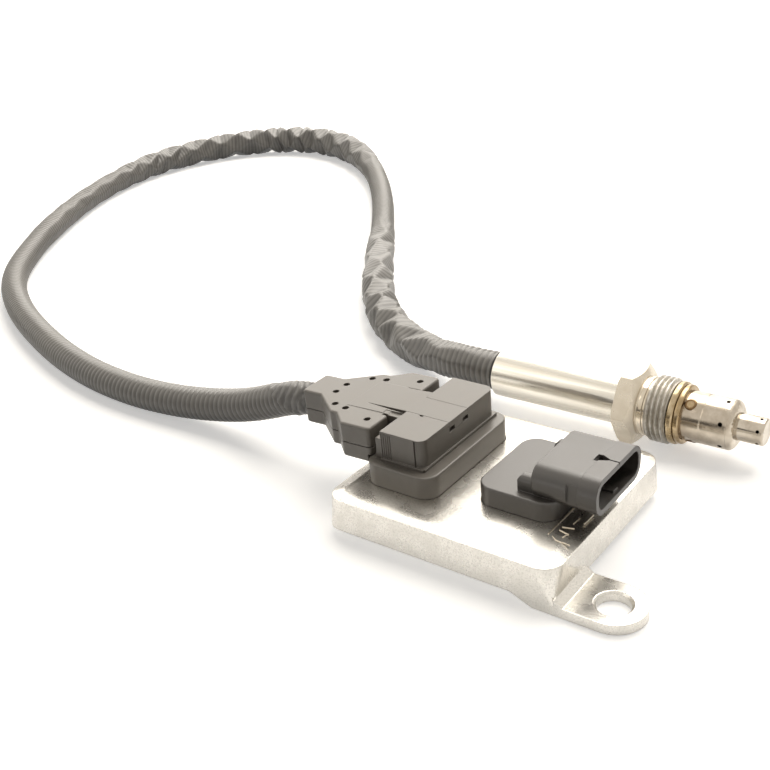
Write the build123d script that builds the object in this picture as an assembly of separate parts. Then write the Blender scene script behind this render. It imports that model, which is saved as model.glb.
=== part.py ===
"""Nitrogen oxide sensor: control unit, harness connector, corrugated conduit and screw-in probe.

Millimetres, +Z up. The origin is the centre of the control unit on the surface that it stands on.
X runs along the control unit towards the supply connector's mouth, and the probe points the same way.
"""
from build123d import *
import math
import os

os.makedirs("parts", exist_ok=True)

# Headers that stand through the lid; the housing's size follows from them
CONNECTOR_Y = -0.4
HARNESS_RISER_LENGTH = 22.2
HARNESS_RISER_WIDTH = 41.4
HARNESS_RISER_RADIUS = 4.6
HARNESS_LEDGE_HEIGHT = 19.4
SUPPLY_PAD_LENGTH = 23.0
SUPPLY_PAD_WIDTH = 29.2
SUPPLY_PAD_RADIUS = 5.0
SUPPLY_PAD_HEIGHT = 18.4
HEADER_SPACING = 9.4
LID_BEHIND_RISER = 6.65
LID_AHEAD_OF_PAD = 9.25
LID_BESIDE_RISER = 10.8
WINDOW_CLEARANCE = 0.1
FLANGE_LIP = 1.3
GASKET_THICKNESS = 0.6

# Control unit housing, an aluminium die casting open underneath
HOUSING_LENGTH = LID_BEHIND_RISER + HARNESS_RISER_LENGTH + HEADER_SPACING + SUPPLY_PAD_LENGTH + LID_AHEAD_OF_PAD
HOUSING_WIDTH = HARNESS_RISER_WIDTH + 2 * LID_BESIDE_RISER
HARNESS_X = -HOUSING_LENGTH / 2 + LID_BEHIND_RISER + HARNESS_RISER_LENGTH / 2
SUPPLY_X = HOUSING_LENGTH / 2 - LID_AHEAD_OF_PAD - SUPPLY_PAD_LENGTH / 2
WALL_LEAN = 0.25
RIM_HEIGHT = 2.6
SHOULDER_HEIGHT = 11.8
LID_HEIGHT = 12.95
SHOULDER_INSET = 3.8
HOUSING_WALL = 3.0
LID_THICKNESS = 2.0
RIM_CORNER_RADIUS = 4.4
SHOULDER_CORNER_RADIUS = 6.0
LUG_CORNER_RADIUS = 0.6
LID_CORNER_RADIUS = 2.0
CAVITY_CORNER_RADIUS = 3.0

# Mounting lugs at two opposite corners
LUG_THICKNESS = 2.8
LUG_RADIUS = 8.3
LUG_REACH = 11.5
LUG_HOLE_RADIUS = 4.3
LUG_HOLE_CHAMFER = 0.6
LUG_SLOPE_RUN = 2.2
LUG_SLOPE_RISE = 1.95
FOOT_LENGTH = 6.3
FOOT_RAMP = 6.5

# Base plate, its seal and the circuit board
PLATE_THICKNESS = 1.5
PLATE_SET_BACK = 0.3
PLATE_LEDGE = 1.5
PLATE_CLEARANCE = 0.1
BASE_SEAL_HEIGHT = 0.5
BOARD_THICKNESS = 1.6
BOARD_UNDERSIDE = 6.5
BOARD_CLEARANCE = 0.6
BOSS_RADIUS = 2.2
BOSS_INSET = 3.2
SCREW_RADIUS = 1.25
SCREW_DEPTH = 2.2
SCREW_HEAD_RADIUS = 2.3
SCREW_HEAD_HEIGHT = 1.4
CHIP_HEIGHT = 1.4
CHIP_SIZE = 12.0
CHIP_BEHIND_PAD = 10.5
CHIP_X = SUPPLY_X - CHIP_BEHIND_PAD
DRIVER_SIZE = 8.0
DRIVER_X = HARNESS_X + 9.5
DRIVER_Y = -10.0
REGULATOR_LENGTH = 9.0
REGULATOR_WIDTH = 6.5
REGULATOR_X = SUPPLY_X + 7.5
REGULATOR_Y = 12.0
CAPACITOR_RADIUS = 1.9
CAPACITOR_HEIGHT = 1.7
CAPACITOR_COUNT = 6
CAPACITOR_PITCH = 6.0
CAPACITOR_EDGE = 1.0

# Supply connector shroud, open towards +X
SHROUD_REAR = SUPPLY_X + 4.2
SHROUD_REACH = 22.5
SHROUD_MOUTH = SUPPLY_X + SHROUD_REACH
SHROUD_BOTTOM = 16.9
SHROUD_TOP = 26.6
SHROUD_WIDTH = 25.0
SHROUD_RADIUS = 4.0
SHROUD_WALL = 1.3
SHROUD_SOCKET_DEPTH = 14.5
SHROUD_BAND_LENGTH = 3.2
SHROUD_BAND_DEPTH = 0.6
SHROUD_BAND_HEIGHT = 6.4
COLLAR_LENGTH = 5.2
COLLAR_RISE = 0.2
MOUTH_RIDGE_WIDTH = 2.4
MOUTH_RIDGE_HEIGHT = 0.6
MOUTH_RIDGE_LENGTH = 9.0
WINDOW_SLOT_START = SHROUD_MOUTH - 6.4
WINDOW_SLOT_LENGTH = 1.2
WINDOW_SLOT_WIDTH = 3.2
WINDOW_BASE = SHROUD_MOUTH - 5.4
WINDOW_TIP = SHROUD_MOUTH - 2.2
WINDOW_WIDTH = 3.2
WINDOW_SLIT = 0.4
REAR_BOSS_LENGTH = 4.3
REAR_BOSS_WIDTH = 3.4
REAR_BOSS_HEIGHT = 4.3
REAR_BOSS_ROUNDING = 1.6
PAD_TAB_LENGTH = 1.4
PAD_TAB_WIDTH = 2.2
PAD_TAB_HEIGHT = 1.4
PAD_TAB_Y = 9.6
SUPPLY_WAYS = 5
SUPPLY_PITCH = 4.0
SUPPLY_PIN_X = SHROUD_REAR + 2.5
SUPPLY_PIN_Z = 21.6
SUPPLY_PIN_WIDTH = 1.2
SUPPLY_PIN_THICKNESS = 0.8
SUPPLY_PIN_SET_BACK = 4.0

# Harness connector, plugged into the harness header from above
BLOCK_X = HARNESS_X - 0.5
BLOCK_BEHIND = 6.2
BLOCK_AHEAD = 7.6
BLOCK_WIDTH = 36.1
BLOCK_Y = CONNECTOR_Y + 0.65
BLOCK_TOP = 28.2
BLOCK_FRONT_RADIUS = 2.6
BLOCK_GROOVE_WIDTH = 0.45
BLOCK_GROOVE_DEPTH = 0.5
BLOCK_FOOT_RISE = 0.8
BLOCK_FOOT_PROUD = 0.45
BLOCK_PANEL_START = 0.3
BLOCK_PANEL_GROOVES = 5
BLOCK_PANEL_PITCH = 0.7
BLOCK_PANEL_DEPTH = 0.22
BLOCK_PANEL_GROOVE_WIDTH = 0.35
SHELF_LENGTH = 2.2
SHELF_DROP = 2.8
SHELF_TOP = BLOCK_TOP - SHELF_DROP
SHELF_SET_BACK = 0.6
TONGUE_DIMPLE_RADIUS = 0.7
TONGUE_DIMPLE_X = HARNESS_X - 1.6
NOSE_LENGTH = 12.0
NOSE_WIDTH = 31.0
NOSE_DEPTH = 4.8
NOSE_CLEARANCE = 0.1
NOSE_RADIUS = 2.0
SEAL_GROOVE_DEPTH = 0.9
SEAL_HEIGHT = 1.8
SEAL_LIFT = 1.4
HARNESS_WAYS = 8
HARNESS_PITCH = 2.8
HARNESS_PIN = 0.64
TERMINAL_LENGTH = 2.2
TERMINAL_WIDTH = 1.8
TERMINAL_WALL = 0.25
TERMINAL_FOOT = 15.2
TERMINAL_DROP = 4.8
TERMINAL_TOP = BLOCK_TOP - TERMINAL_DROP
HARNESS_PIN_DROP = 1.8
HARNESS_PIN_TOP = TERMINAL_TOP - HARNESS_PIN_DROP
BARREL_RADIUS = 0.9
WIRE_RADIUS = 0.6
WIRE_SPACING = 1.6
WIRE_CRIMP_LENGTH = 4.0

# Latching tongue and the two-part wire cover
TONGUE_WIDTH = 9.2
TONGUE_THICKNESS = 1.8
TONGUE_CLEARANCE = 0.08
TONGUE_HOOK = 3.0
TONGUE_HOOK_THICKNESS = 0.9
HOOK_NOTCH = 2.6
COVER_DROOP = 2.1
COVER_BEHIND_PINS = 10.5
COVER_BODY_END = HARNESS_X - COVER_BEHIND_PINS
COVER_SHOULDER_BEHIND = 9.8
COVER_SHOULDER = COVER_BODY_END - COVER_SHOULDER_BEHIND
COVER_STEP_END_BEHIND = 14.7
COVER_STEP_END = COVER_BODY_END - COVER_STEP_END_BEHIND
COVER_STEP_START_BEHIND = 17.0
COVER_STEP_START = COVER_BODY_END - COVER_STEP_START_BEHIND
COVER_NECK_BEHIND = 26.4
COVER_NECK = COVER_BODY_END - COVER_NECK_BEHIND
COVER_LENGTH = 33.6
COVER_END = COVER_BODY_END - COVER_LENGTH
COVER_NECK_HALF_WIDTH = 5.8
COVER_STEP_HALF_WIDTH = 13.1
COVER_HALF_WIDTH = 17.5
COVER_BELOW_BLOCK = 0.3
COVER_TOP = BLOCK_TOP - COVER_BELOW_BLOCK
COVER_HEIGHT = 10.6
COVER_BOTTOM = COVER_TOP - COVER_HEIGHT
COVER_SPLIT_DROP = 5.9
COVER_SPLIT = COVER_TOP - COVER_SPLIT_DROP
COVER_WALL = 1.5
COVER_FLOOR = 0.9
COVER_EDGE_RADIUS = 0.8
COVER_CORNER_RADIUS = 1.2
CENTRE_STRIP_WIDTH = 16.0
COVER_HOLE_RADIUS = 1.0
COVER_HOLES = ((23.2, 2.5, False), (18.4, 8.9, True), (13.9, 9.8, True), (3.9, 12.8, True))
COVER_PIN_CLEARANCE = 0.05
COVER_PIN_DROP = 2.0
CHAMBER_END = COVER_NECK + 0.2
CHAMBER_WIDE = 10.9
CHAMBER_MIDDLE = 8.6
CHAMBER_NARROW = 3.9
COVER_BORE_RADIUS = 3.4
COVER_LEDGE_GAP = 0.3
TONGUE_SLOT_LENGTH = 14.0
TONGUE_SLOT_WIDTH = 1.5
STRIP_SLOPE = 2.4
STRIP_STEP_LENGTH = 6.0
STRIP_STEP_WIDTH = 1.9
STRIP_STEP_DEPTH = 0.6
STRIP_NOTCH_LENGTH = 1.8
STRIP_NOTCH_DEPTH = 3.5
FAR_SLOT_LENGTH = 6.6
FAR_SLOT_WIDTH = 0.4

# Conduit
CONDUIT_DIAMETER = 10.8
CONDUIT_REST = 5.5
CONDUIT_EXIT_DROP = 0.2
CONDUIT_EXIT_HEIGHT = COVER_SPLIT - CONDUIT_EXIT_DROP
CONDUIT_EXIT_LENGTH = 5.6

# Probe: turned parts about one axis that runs along X
PROBE_Y = 57.7
PROBE_Z = 11.0
SLEEVE_REAR = -31.8
SLEEVE_RADIUS = 7.75
SLEEVE_WALL = 0.6
SLEEVE_ROLL = 0.9
SLEEVE_FRONT = 14.0
HEX_REAR = 12.2
HEX_ACROSS_FLATS = 22.0
HEX_LENGTH = 5.2
HEX_CONE = 1.1
NECK_RADIUS = 9.0
THREAD_START = 21.2
THREAD_RADIUS = 10.0
THREAD_END = 27.8
THREAD_CHAMFER = 0.7
NUT_RUNNING_CLEARANCE = 0.05
FLANGE_START = 27.9
FLANGE_END = 30.0
FLANGE_RADIUS = 9.5
FLANGE_ROUNDING = 0.9
SEAL_RING_END = 31.8
SEAL_RING_RADIUS = 9.0
OUTER_TUBE_RADIUS = 7.5
OUTER_TUBE_WALL = 0.5
OUTER_TUBE_END = 46.9
OUTER_TUBE_ROUNDING = 1.9
OUTER_TUBE_CREASE = 37.4
OUTER_TUBE_BEAD = 44.9
OUTER_TUBE_HOLE_X = 43.4
OUTER_TUBE_HOLE_RADIUS = 0.65
INNER_TUBE_RADIUS = 4.1
INNER_TUBE_WALL = 0.4
INNER_TUBE_END = 54.6
INNER_TUBE_HOLE_X = 53.0
INNER_TUBE_HOLE_RADIUS = 0.5
INNER_TUBE_CLEARANCE = 0.05
TUBE_HOLE_COUNT = 6
TUBE_HOLE_ANGLE = 24.0
SPIGOT_END = 36.6
CRIMP_X = 33.2
CRIMP_RADIUS = 1.7
CRIMP_DEPTH = 0.25
CRIMP_COUNT = 4
BODY_REAR = 4.0
BODY_BORE_RADIUS = 3.4
BODY_WALL = 2.2
BUSH_CLEARANCE = 0.05
FRONT_BUSH_LENGTH = 9.0
PACKING_LENGTH = 5.0
REAR_BUSH_LENGTH = 7.5
ELEMENT_WIDTH = 4.2
ELEMENT_THICKNESS = 1.3
ELEMENT_REAR = -16.0
ELEMENT_FRONT = 51.0
CARRIER_LENGTH = 12.0
CARRIER_GAP = 0.3
CONTACT_LENGTH = 9.0
CONTACT_THICKNESS = 0.4
CONTACT_WIDTH = 0.6
CONTACT_PITCH = 1.0
GROMMET_LENGTH = 8.0
GROMMET_FLANGE = 1.0
GROMMET_FLANGE_RADIUS = 6.85
LEAD_CIRCLE_RADIUS = 4.2


def save(name, shape):
    """Writes one node; a node of several pieces becomes one compound of separate solids."""
    solids = list(shape.solids())
    export_step(solids[0] if len(solids) == 1 else Compound(children=solids), f"parts/{name}.step")


def slab(centre_x, centre_y, length, width, bottom, top, radius=0.0):
    """An upright block with rounded vertical corners."""
    plan = RectangleRounded(length, width, radius) if radius > 0 else Rectangle(length, width)
    return Pos(centre_x, centre_y, bottom) * extrude(plan, amount=top - bottom)


def ring(outer, hole):
    """An outer block less the hole through it."""
    return outer - hole


def both_sides(shape):
    """The shape and its mirror image across the connectors' middle plane."""
    return shape + mirror(shape, about=Plane.XZ.offset(-CONNECTOR_Y))


def ways(count, pitch):
    """The Y places of a single row of contacts, centred on the connectors."""
    return [CONNECTOR_Y + (index - (count - 1) / 2) * pitch for index in range(count)]


def turned(profile):
    """A solid of revolution about the probe's axis from (x, radius) points."""
    face = make_face(Plane.XZ * Polyline(*profile, close=True))
    return Pos(0, PROBE_Y, PROBE_Z) * revolve(face, Axis.X)


def turned_tube(start, end, outer, inner):
    """A plain tube about the probe's axis."""
    return turned([(start, inner), (end, inner), (end, outer), (start, outer)])


def around_probe(shape, count, first_angle):
    """Copies of a shape spaced evenly about the probe's axis; 0 degrees looks along -Y."""
    copies = Part()
    for index in range(count):
        turn = Rot(X=first_angle + index * 360 / count)
        copies += Pos(0, PROBE_Y, PROBE_Z) * turn * shape
    return copies


# Control unit housing
def housing_section(length, width, corner, lug_corner, height):
    """The housing's outline at one height; the lug corners have their own radius."""
    half_x, half_y = length / 2, width / 2
    corners = [(half_x, half_y), (-half_x, half_y), (-half_x, -half_y), (half_x, -half_y)]
    outline = FilletPolyline(*corners, radius=[corner, lug_corner, corner, lug_corner], close=True)
    return Pos(0, 0, height) * make_face(outline)


def lug():
    """The front right lug with its foot under the front wall, sloped into the side wall."""
    front = -HOUSING_WIDTH / 2
    middle = front + LUG_RADIUS
    side = HOUSING_LENGTH / 2
    centre_x = side + LUG_REACH
    foot_start = side - FOOT_LENGTH - FOOT_RAMP
    plan = Pos((foot_start + centre_x) / 2, middle) * Rectangle(centre_x - foot_start, 2 * LUG_RADIUS)
    plate = extrude(plan + Pos(centre_x, middle) * Circle(LUG_RADIUS), amount=LUG_THICKNESS)
    ramp = Polyline((foot_start - 1, -1), (foot_start + FOOT_RAMP, -1), (foot_start + FOOT_RAMP, 0),
                    (foot_start, LUG_THICKNESS), (foot_start - 1, LUG_THICKNESS), close=True)
    plate -= extrude(Plane.XZ.offset(-front - 3 * LUG_RADIUS) * make_face(ramp), amount=4 * LUG_RADIUS)
    slope = Polyline((side - WALL_LEAN, LUG_THICKNESS), (side + LUG_SLOPE_RUN, LUG_THICKNESS),
                     (side - WALL_LEAN, LUG_THICKNESS + LUG_SLOPE_RISE), close=True)
    plate += extrude(Plane.XZ.offset(-front) * make_face(slope), amount=-2 * LUG_RADIUS)
    hole = Pos(centre_x, middle, 0) * extrude(Circle(LUG_HOLE_RADIUS), amount=LUG_THICKNESS)
    chamfer_cone = Pos(centre_x, middle, LUG_THICKNESS - LUG_HOLE_CHAMFER / 2) * Cone(
        LUG_HOLE_RADIUS, LUG_HOLE_RADIUS + LUG_HOLE_CHAMFER, LUG_HOLE_CHAMFER)
    return plate - hole - chamfer_cone


def board_bosses(radius, bottom, top):
    """Round posts at the board's four corners."""
    away_x = HOUSING_LENGTH / 2 - HOUSING_WALL - BOSS_INSET
    away_y = HOUSING_WIDTH / 2 - HOUSING_WALL - BOSS_INSET
    posts = Part()
    for sign_x in (-1, 1):
        for sign_y in (-1, 1):
            post = extrude(Circle(radius), amount=top - bottom)
            posts += Pos(sign_x * away_x, sign_y * away_y, bottom) * post
    return posts


board_top = BOARD_UNDERSIDE + BOARD_THICKNESS
lid_underside = LID_HEIGHT - LID_THICKNESS
flange_top = lid_underside - GASKET_THICKNESS
plate_bottom = RIM_HEIGHT + PLATE_SET_BACK
plate_top = plate_bottom + PLATE_THICKNESS
ledge = plate_top + BASE_SEAL_HEIGHT
cavity_length = HOUSING_LENGTH - 2 * HOUSING_WALL
cavity_width = HOUSING_WIDTH - 2 * HOUSING_WALL
harness_window = slab(HARNESS_X, CONNECTOR_Y, HARNESS_RISER_LENGTH + 2 * WINDOW_CLEARANCE,
                      HARNESS_RISER_WIDTH + 2 * WINDOW_CLEARANCE, 0, LID_HEIGHT + 1,
                      HARNESS_RISER_RADIUS + WINDOW_CLEARANCE)
supply_window = slab(SUPPLY_X, CONNECTOR_Y, SUPPLY_PAD_LENGTH + 2 * WINDOW_CLEARANCE,
                     SUPPLY_PAD_WIDTH + 2 * WINDOW_CLEARANCE, 0, LID_HEIGHT + 1,
                     SUPPLY_PAD_RADIUS + WINDOW_CLEARANCE)


def make_housing():
    """The casting: leaning walls, shallow shoulder slopes, two lugs, windows and board bosses."""
    rim = housing_section(HOUSING_LENGTH, HOUSING_WIDTH, RIM_CORNER_RADIUS, LUG_CORNER_RADIUS, RIM_HEIGHT)
    shoulder_size = (HOUSING_LENGTH - 2 * WALL_LEAN, HOUSING_WIDTH - 2 * WALL_LEAN)
    shoulder = housing_section(*shoulder_size, SHOULDER_CORNER_RADIUS, SHOULDER_CORNER_RADIUS, SHOULDER_HEIGHT)
    lid = housing_section(shoulder_size[0] - 2 * SHOULDER_INSET, shoulder_size[1] - 2 * SHOULDER_INSET,
                          LID_CORNER_RADIUS, LID_CORNER_RADIUS, LID_HEIGHT)
    body = loft([rim, shoulder], ruled=True) + loft([shoulder, lid], ruled=True)
    body += lug() + Rot(Z=180) * lug()
    body -= slab(0, 0, cavity_length, cavity_width, -1, lid_underside, CAVITY_CORNER_RADIUS)
    body -= slab(0, 0, cavity_length + 2 * PLATE_LEDGE, cavity_width + 2 * PLATE_LEDGE, RIM_HEIGHT - 1, ledge,
                 CAVITY_CORNER_RADIUS)
    body += board_bosses(BOSS_RADIUS, board_top, lid_underside)
    body -= board_bosses(SCREW_RADIUS, board_top - 1, board_top + SCREW_DEPTH)
    return body - harness_window - supply_window


def make_base_plate():
    """Flat plate that closes the housing, let into the ledge inside its rim."""
    return slab(0, 0, cavity_length + 2 * (PLATE_LEDGE - PLATE_CLEARANCE),
                cavity_width + 2 * (PLATE_LEDGE - PLATE_CLEARANCE), plate_bottom, plate_top,
                CAVITY_CORNER_RADIUS - PLATE_CLEARANCE)


def make_base_seal():
    """Flat seal between the housing's ledge and the base plate."""
    outer = slab(0, 0, cavity_length + 2 * (PLATE_LEDGE - PLATE_CLEARANCE),
                 cavity_width + 2 * (PLATE_LEDGE - PLATE_CLEARANCE), plate_top, ledge,
                 CAVITY_CORNER_RADIUS - PLATE_CLEARANCE)
    return ring(outer, slab(0, 0, cavity_length, cavity_width, plate_top, ledge, CAVITY_CORNER_RADIUS))


# Contacts come first, because boards and headers are bored around them
def harness_pins():
    """Square pins from the board up into the harness connector's terminals."""
    pins = Part()
    for place in ways(HARNESS_WAYS, HARNESS_PITCH):
        pins += slab(BLOCK_X, place, HARNESS_PIN, HARNESS_PIN, BOARD_UNDERSIDE, HARNESS_PIN_TOP)
    return pins


def supply_pins():
    """Bent blades from the board up through the pad and out into the shroud."""
    pins = Part()
    tip = SHROUD_MOUTH - SUPPLY_PIN_SET_BACK
    for place in ways(SUPPLY_WAYS, SUPPLY_PITCH):
        route = Polyline((SUPPLY_PIN_X, BOARD_UNDERSIDE), (SUPPLY_PIN_X, SUPPLY_PIN_Z), (tip, SUPPLY_PIN_Z),
                         (tip, SUPPLY_PIN_Z + SUPPLY_PIN_THICKNESS),
                         (SUPPLY_PIN_X - SUPPLY_PIN_THICKNESS, SUPPLY_PIN_Z + SUPPLY_PIN_THICKNESS),
                         (SUPPLY_PIN_X - SUPPLY_PIN_THICKNESS, BOARD_UNDERSIDE), close=True)
        blade = extrude(Plane.XZ * make_face(route), amount=SUPPLY_PIN_WIDTH / 2, both=True)
        pins += Pos(0, place, 0) * blade
    return pins


def make_board():
    """Circuit board held under the lid's bosses, bored for the screws and both rows of pins."""
    board = slab(0, 0, cavity_length - 2 * BOARD_CLEARANCE, cavity_width - 2 * BOARD_CLEARANCE,
                 BOARD_UNDERSIDE, board_top, CAVITY_CORNER_RADIUS - BOARD_CLEARANCE)
    board -= board_bosses(SCREW_RADIUS, BOARD_UNDERSIDE, board_top)
    return board - harness_pins() - supply_pins()


def make_board_screws():
    """Four screws up through the board into the bosses."""
    heads = board_bosses(SCREW_HEAD_RADIUS, BOARD_UNDERSIDE - SCREW_HEAD_HEIGHT, BOARD_UNDERSIDE)
    return heads + board_bosses(SCREW_RADIUS, BOARD_UNDERSIDE, board_top + SCREW_DEPTH)


def chip(centre_x, centre_y, length, width):
    """A flat moulded package under the board."""
    return slab(centre_x, centre_y, length, width, BOARD_UNDERSIDE - CHIP_HEIGHT, BOARD_UNDERSIDE)


def make_capacitors():
    """A row of round capacitors under the board, along its front edge."""
    row_y = -(HOUSING_WIDTH / 2 - HOUSING_WALL - BOARD_CLEARANCE - CAPACITOR_RADIUS - CAPACITOR_EDGE)
    cans = Part()
    for index in range(CAPACITOR_COUNT):
        place = (index - (CAPACITOR_COUNT - 1) / 2) * CAPACITOR_PITCH
        can = extrude(Circle(CAPACITOR_RADIUS), amount=CAPACITOR_HEIGHT)
        cans += Pos(place, row_y, BOARD_UNDERSIDE - CAPACITOR_HEIGHT) * can
    return cans


# Harness header
nose_bottom = HARNESS_LEDGE_HEIGHT - NOSE_DEPTH
nose_pocket = slab(BLOCK_X, CONNECTOR_Y, NOSE_LENGTH + 2 * NOSE_CLEARANCE, NOSE_WIDTH + 2 * NOSE_CLEARANCE,
                   nose_bottom - NOSE_CLEARANCE, HARNESS_LEDGE_HEIGHT, NOSE_RADIUS + NOSE_CLEARANCE)


def make_harness_header():
    """Flange under the lid and a rounded riser whose top ledge carries the connector."""
    header = slab(HARNESS_X, CONNECTOR_Y, HARNESS_RISER_LENGTH + 2 * FLANGE_LIP,
                  HARNESS_RISER_WIDTH + 2 * FLANGE_LIP, board_top, flange_top, HARNESS_RISER_RADIUS + FLANGE_LIP)
    riser = slab(HARNESS_X, CONNECTOR_Y, HARNESS_RISER_LENGTH, HARNESS_RISER_WIDTH, flange_top,
                 HARNESS_LEDGE_HEIGHT, HARNESS_RISER_RADIUS)
    riser = fillet(riser.edges().group_by(Axis.Z)[-1], 0.5)
    return header + riser - nose_pocket - harness_pins()


def make_gasket(centre_x, length, width, radius):
    """Flat gasket between a header's flange and the lid's underside."""
    outer = slab(centre_x, CONNECTOR_Y, length + 2 * FLANGE_LIP, width + 2 * FLANGE_LIP, flange_top,
                 lid_underside, radius + FLANGE_LIP)
    return outer - slab(centre_x, CONNECTOR_Y, length, width, flange_top, lid_underside, radius)


# Supply header
def shroud_section(shrink, x):
    """The shroud's rounded cross-section at one X, drawn in or out by an even amount."""
    plane = Plane(origin=(x, CONNECTOR_Y, (SHROUD_BOTTOM + SHROUD_TOP) / 2), x_dir=(0, 1, 0), z_dir=(1, 0, 0))
    return plane * RectangleRounded(SHROUD_WIDTH - 2 * shrink, SHROUD_TOP - SHROUD_BOTTOM - 2 * shrink,
                                    SHROUD_RADIUS - shrink)


def make_supply_header():
    """Pad through the lid with a sideways shroud, its collar, latch window, side bands and rear bosses."""
    flange = slab(SUPPLY_X, CONNECTOR_Y, SUPPLY_PAD_LENGTH + 2 * FLANGE_LIP, SUPPLY_PAD_WIDTH + 2 * FLANGE_LIP,
                  board_top, flange_top, SUPPLY_PAD_RADIUS + FLANGE_LIP)
    pad = slab(SUPPLY_X, CONNECTOR_Y, SUPPLY_PAD_LENGTH, SUPPLY_PAD_WIDTH, flange_top, SUPPLY_PAD_HEIGHT,
               SUPPLY_PAD_RADIUS)
    pad = fillet(pad.edges().group_by(Axis.Z)[-1], 0.5)
    shroud = extrude(shroud_section(0, SHROUD_REAR), amount=SHROUD_MOUTH - SHROUD_REAR)
    shroud = fillet(shroud.edges().group_by(Axis.X)[0], 0.8)
    shroud += extrude(shroud_section(-COLLAR_RISE, SHROUD_MOUTH), amount=-COLLAR_LENGTH)
    boss = slab(SHROUD_REAR - REAR_BOSS_LENGTH / 2 + 1.5, CONNECTOR_Y - SHROUD_WIDTH / 2 + REAR_BOSS_WIDTH / 2 + 1,
                REAR_BOSS_LENGTH + 3, REAR_BOSS_WIDTH, SUPPLY_PAD_HEIGHT - 1, SUPPLY_PAD_HEIGHT + REAR_BOSS_HEIGHT)
    boss = fillet(boss.edges().group_by(Axis.Z)[-1], REAR_BOSS_ROUNDING)
    tab = slab(SUPPLY_X - SUPPLY_PAD_LENGTH / 2, PAD_TAB_Y, 2 * PAD_TAB_LENGTH, PAD_TAB_WIDTH, LID_HEIGHT,
               LID_HEIGHT + PAD_TAB_HEIGHT)
    header = flange + pad + shroud + both_sides(boss) + tab
    socket = extrude(shroud_section(SHROUD_WALL, SHROUD_MOUTH), amount=-SHROUD_SOCKET_DEPTH)
    middle_z = (SHROUD_BOTTOM + SHROUD_TOP) / 2
    band = Pos(SHROUD_MOUTH - COLLAR_LENGTH - SHROUD_BAND_LENGTH / 2, CONNECTOR_Y - SHROUD_WIDTH / 2, middle_z) * Box(
        SHROUD_BAND_LENGTH, 2 * SHROUD_BAND_DEPTH, SHROUD_BAND_HEIGHT)
    header = header - socket - both_sides(band)
    header += slab(SHROUD_MOUTH - 1 - MOUTH_RIDGE_LENGTH / 2, CONNECTOR_Y, MOUTH_RIDGE_LENGTH, MOUTH_RIDGE_WIDTH,
                   SHROUD_BOTTOM + SHROUD_WALL / 2, SHROUD_BOTTOM + SHROUD_WALL + MOUTH_RIDGE_HEIGHT)
    arrow = Polyline((WINDOW_BASE, -WINDOW_WIDTH / 2), (WINDOW_TIP, 0), (WINDOW_BASE, WINDOW_WIDTH / 2), close=True)
    window = make_face(arrow) + Pos(WINDOW_SLOT_START + WINDOW_SLOT_LENGTH / 2, 0) * Rectangle(
        WINDOW_SLOT_LENGTH, WINDOW_SLOT_WIDTH)
    cut = Pos(0, CONNECTOR_Y, SHROUD_TOP - 2 * SHROUD_WALL) * extrude(window, amount=3 * SHROUD_WALL)
    slit = slab((WINDOW_BASE + SHROUD_MOUTH) / 2 + 1, CONNECTOR_Y, SHROUD_MOUTH - WINDOW_BASE, WINDOW_SLIT,
                SHROUD_TOP - WINDOW_SLIT, SHROUD_TOP + 1)
    return header - cut - slit - supply_pins()


# Harness connector
block_left = BLOCK_X - BLOCK_BEHIND
block_right = BLOCK_X + BLOCK_AHEAD
block_middle = (block_left + block_right) / 2
block_length = BLOCK_BEHIND + BLOCK_AHEAD
shelf_left = block_left - SHELF_LENGTH
tongue_underside = BLOCK_TOP - TONGUE_THICKNESS


def terminal_envelope(place):
    """The space that one terminal fills: an upright box and a barrel towards the cover."""
    box = slab(BLOCK_X, place, TERMINAL_LENGTH, TERMINAL_WIDTH, TERMINAL_FOOT, TERMINAL_TOP)
    barrel_z = TERMINAL_TOP - BARREL_RADIUS
    barrel = Pos((shelf_left + BLOCK_X) / 2, place, barrel_z) * Rot(Y=90) * Cylinder(
        BARREL_RADIUS, BLOCK_X - shelf_left)
    return box + barrel


def block_side_marks():
    """Cuts in the block's two ends: a panel of fine upright grooves and a line beside the rounded corner."""
    cuts = Part()
    places = [block_left + BLOCK_PANEL_START + index * BLOCK_PANEL_PITCH for index in range(BLOCK_PANEL_GROOVES)]
    for side in (-1, 1):
        end_y = BLOCK_Y + side * BLOCK_WIDTH / 2
        for place in places:
            cuts += slab(place + BLOCK_PANEL_GROOVE_WIDTH / 2, end_y, BLOCK_PANEL_GROOVE_WIDTH,
                         2 * BLOCK_PANEL_DEPTH, HARNESS_LEDGE_HEIGHT + BLOCK_FOOT_RISE, BLOCK_TOP - 0.5)
        cuts += slab(block_right - BLOCK_FRONT_RADIUS, end_y, BLOCK_GROOVE_WIDTH, 2 * BLOCK_GROOVE_DEPTH,
                     HARNESS_LEDGE_HEIGHT + BLOCK_FOOT_RISE, BLOCK_TOP - 0.1)
    return cuts


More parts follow.
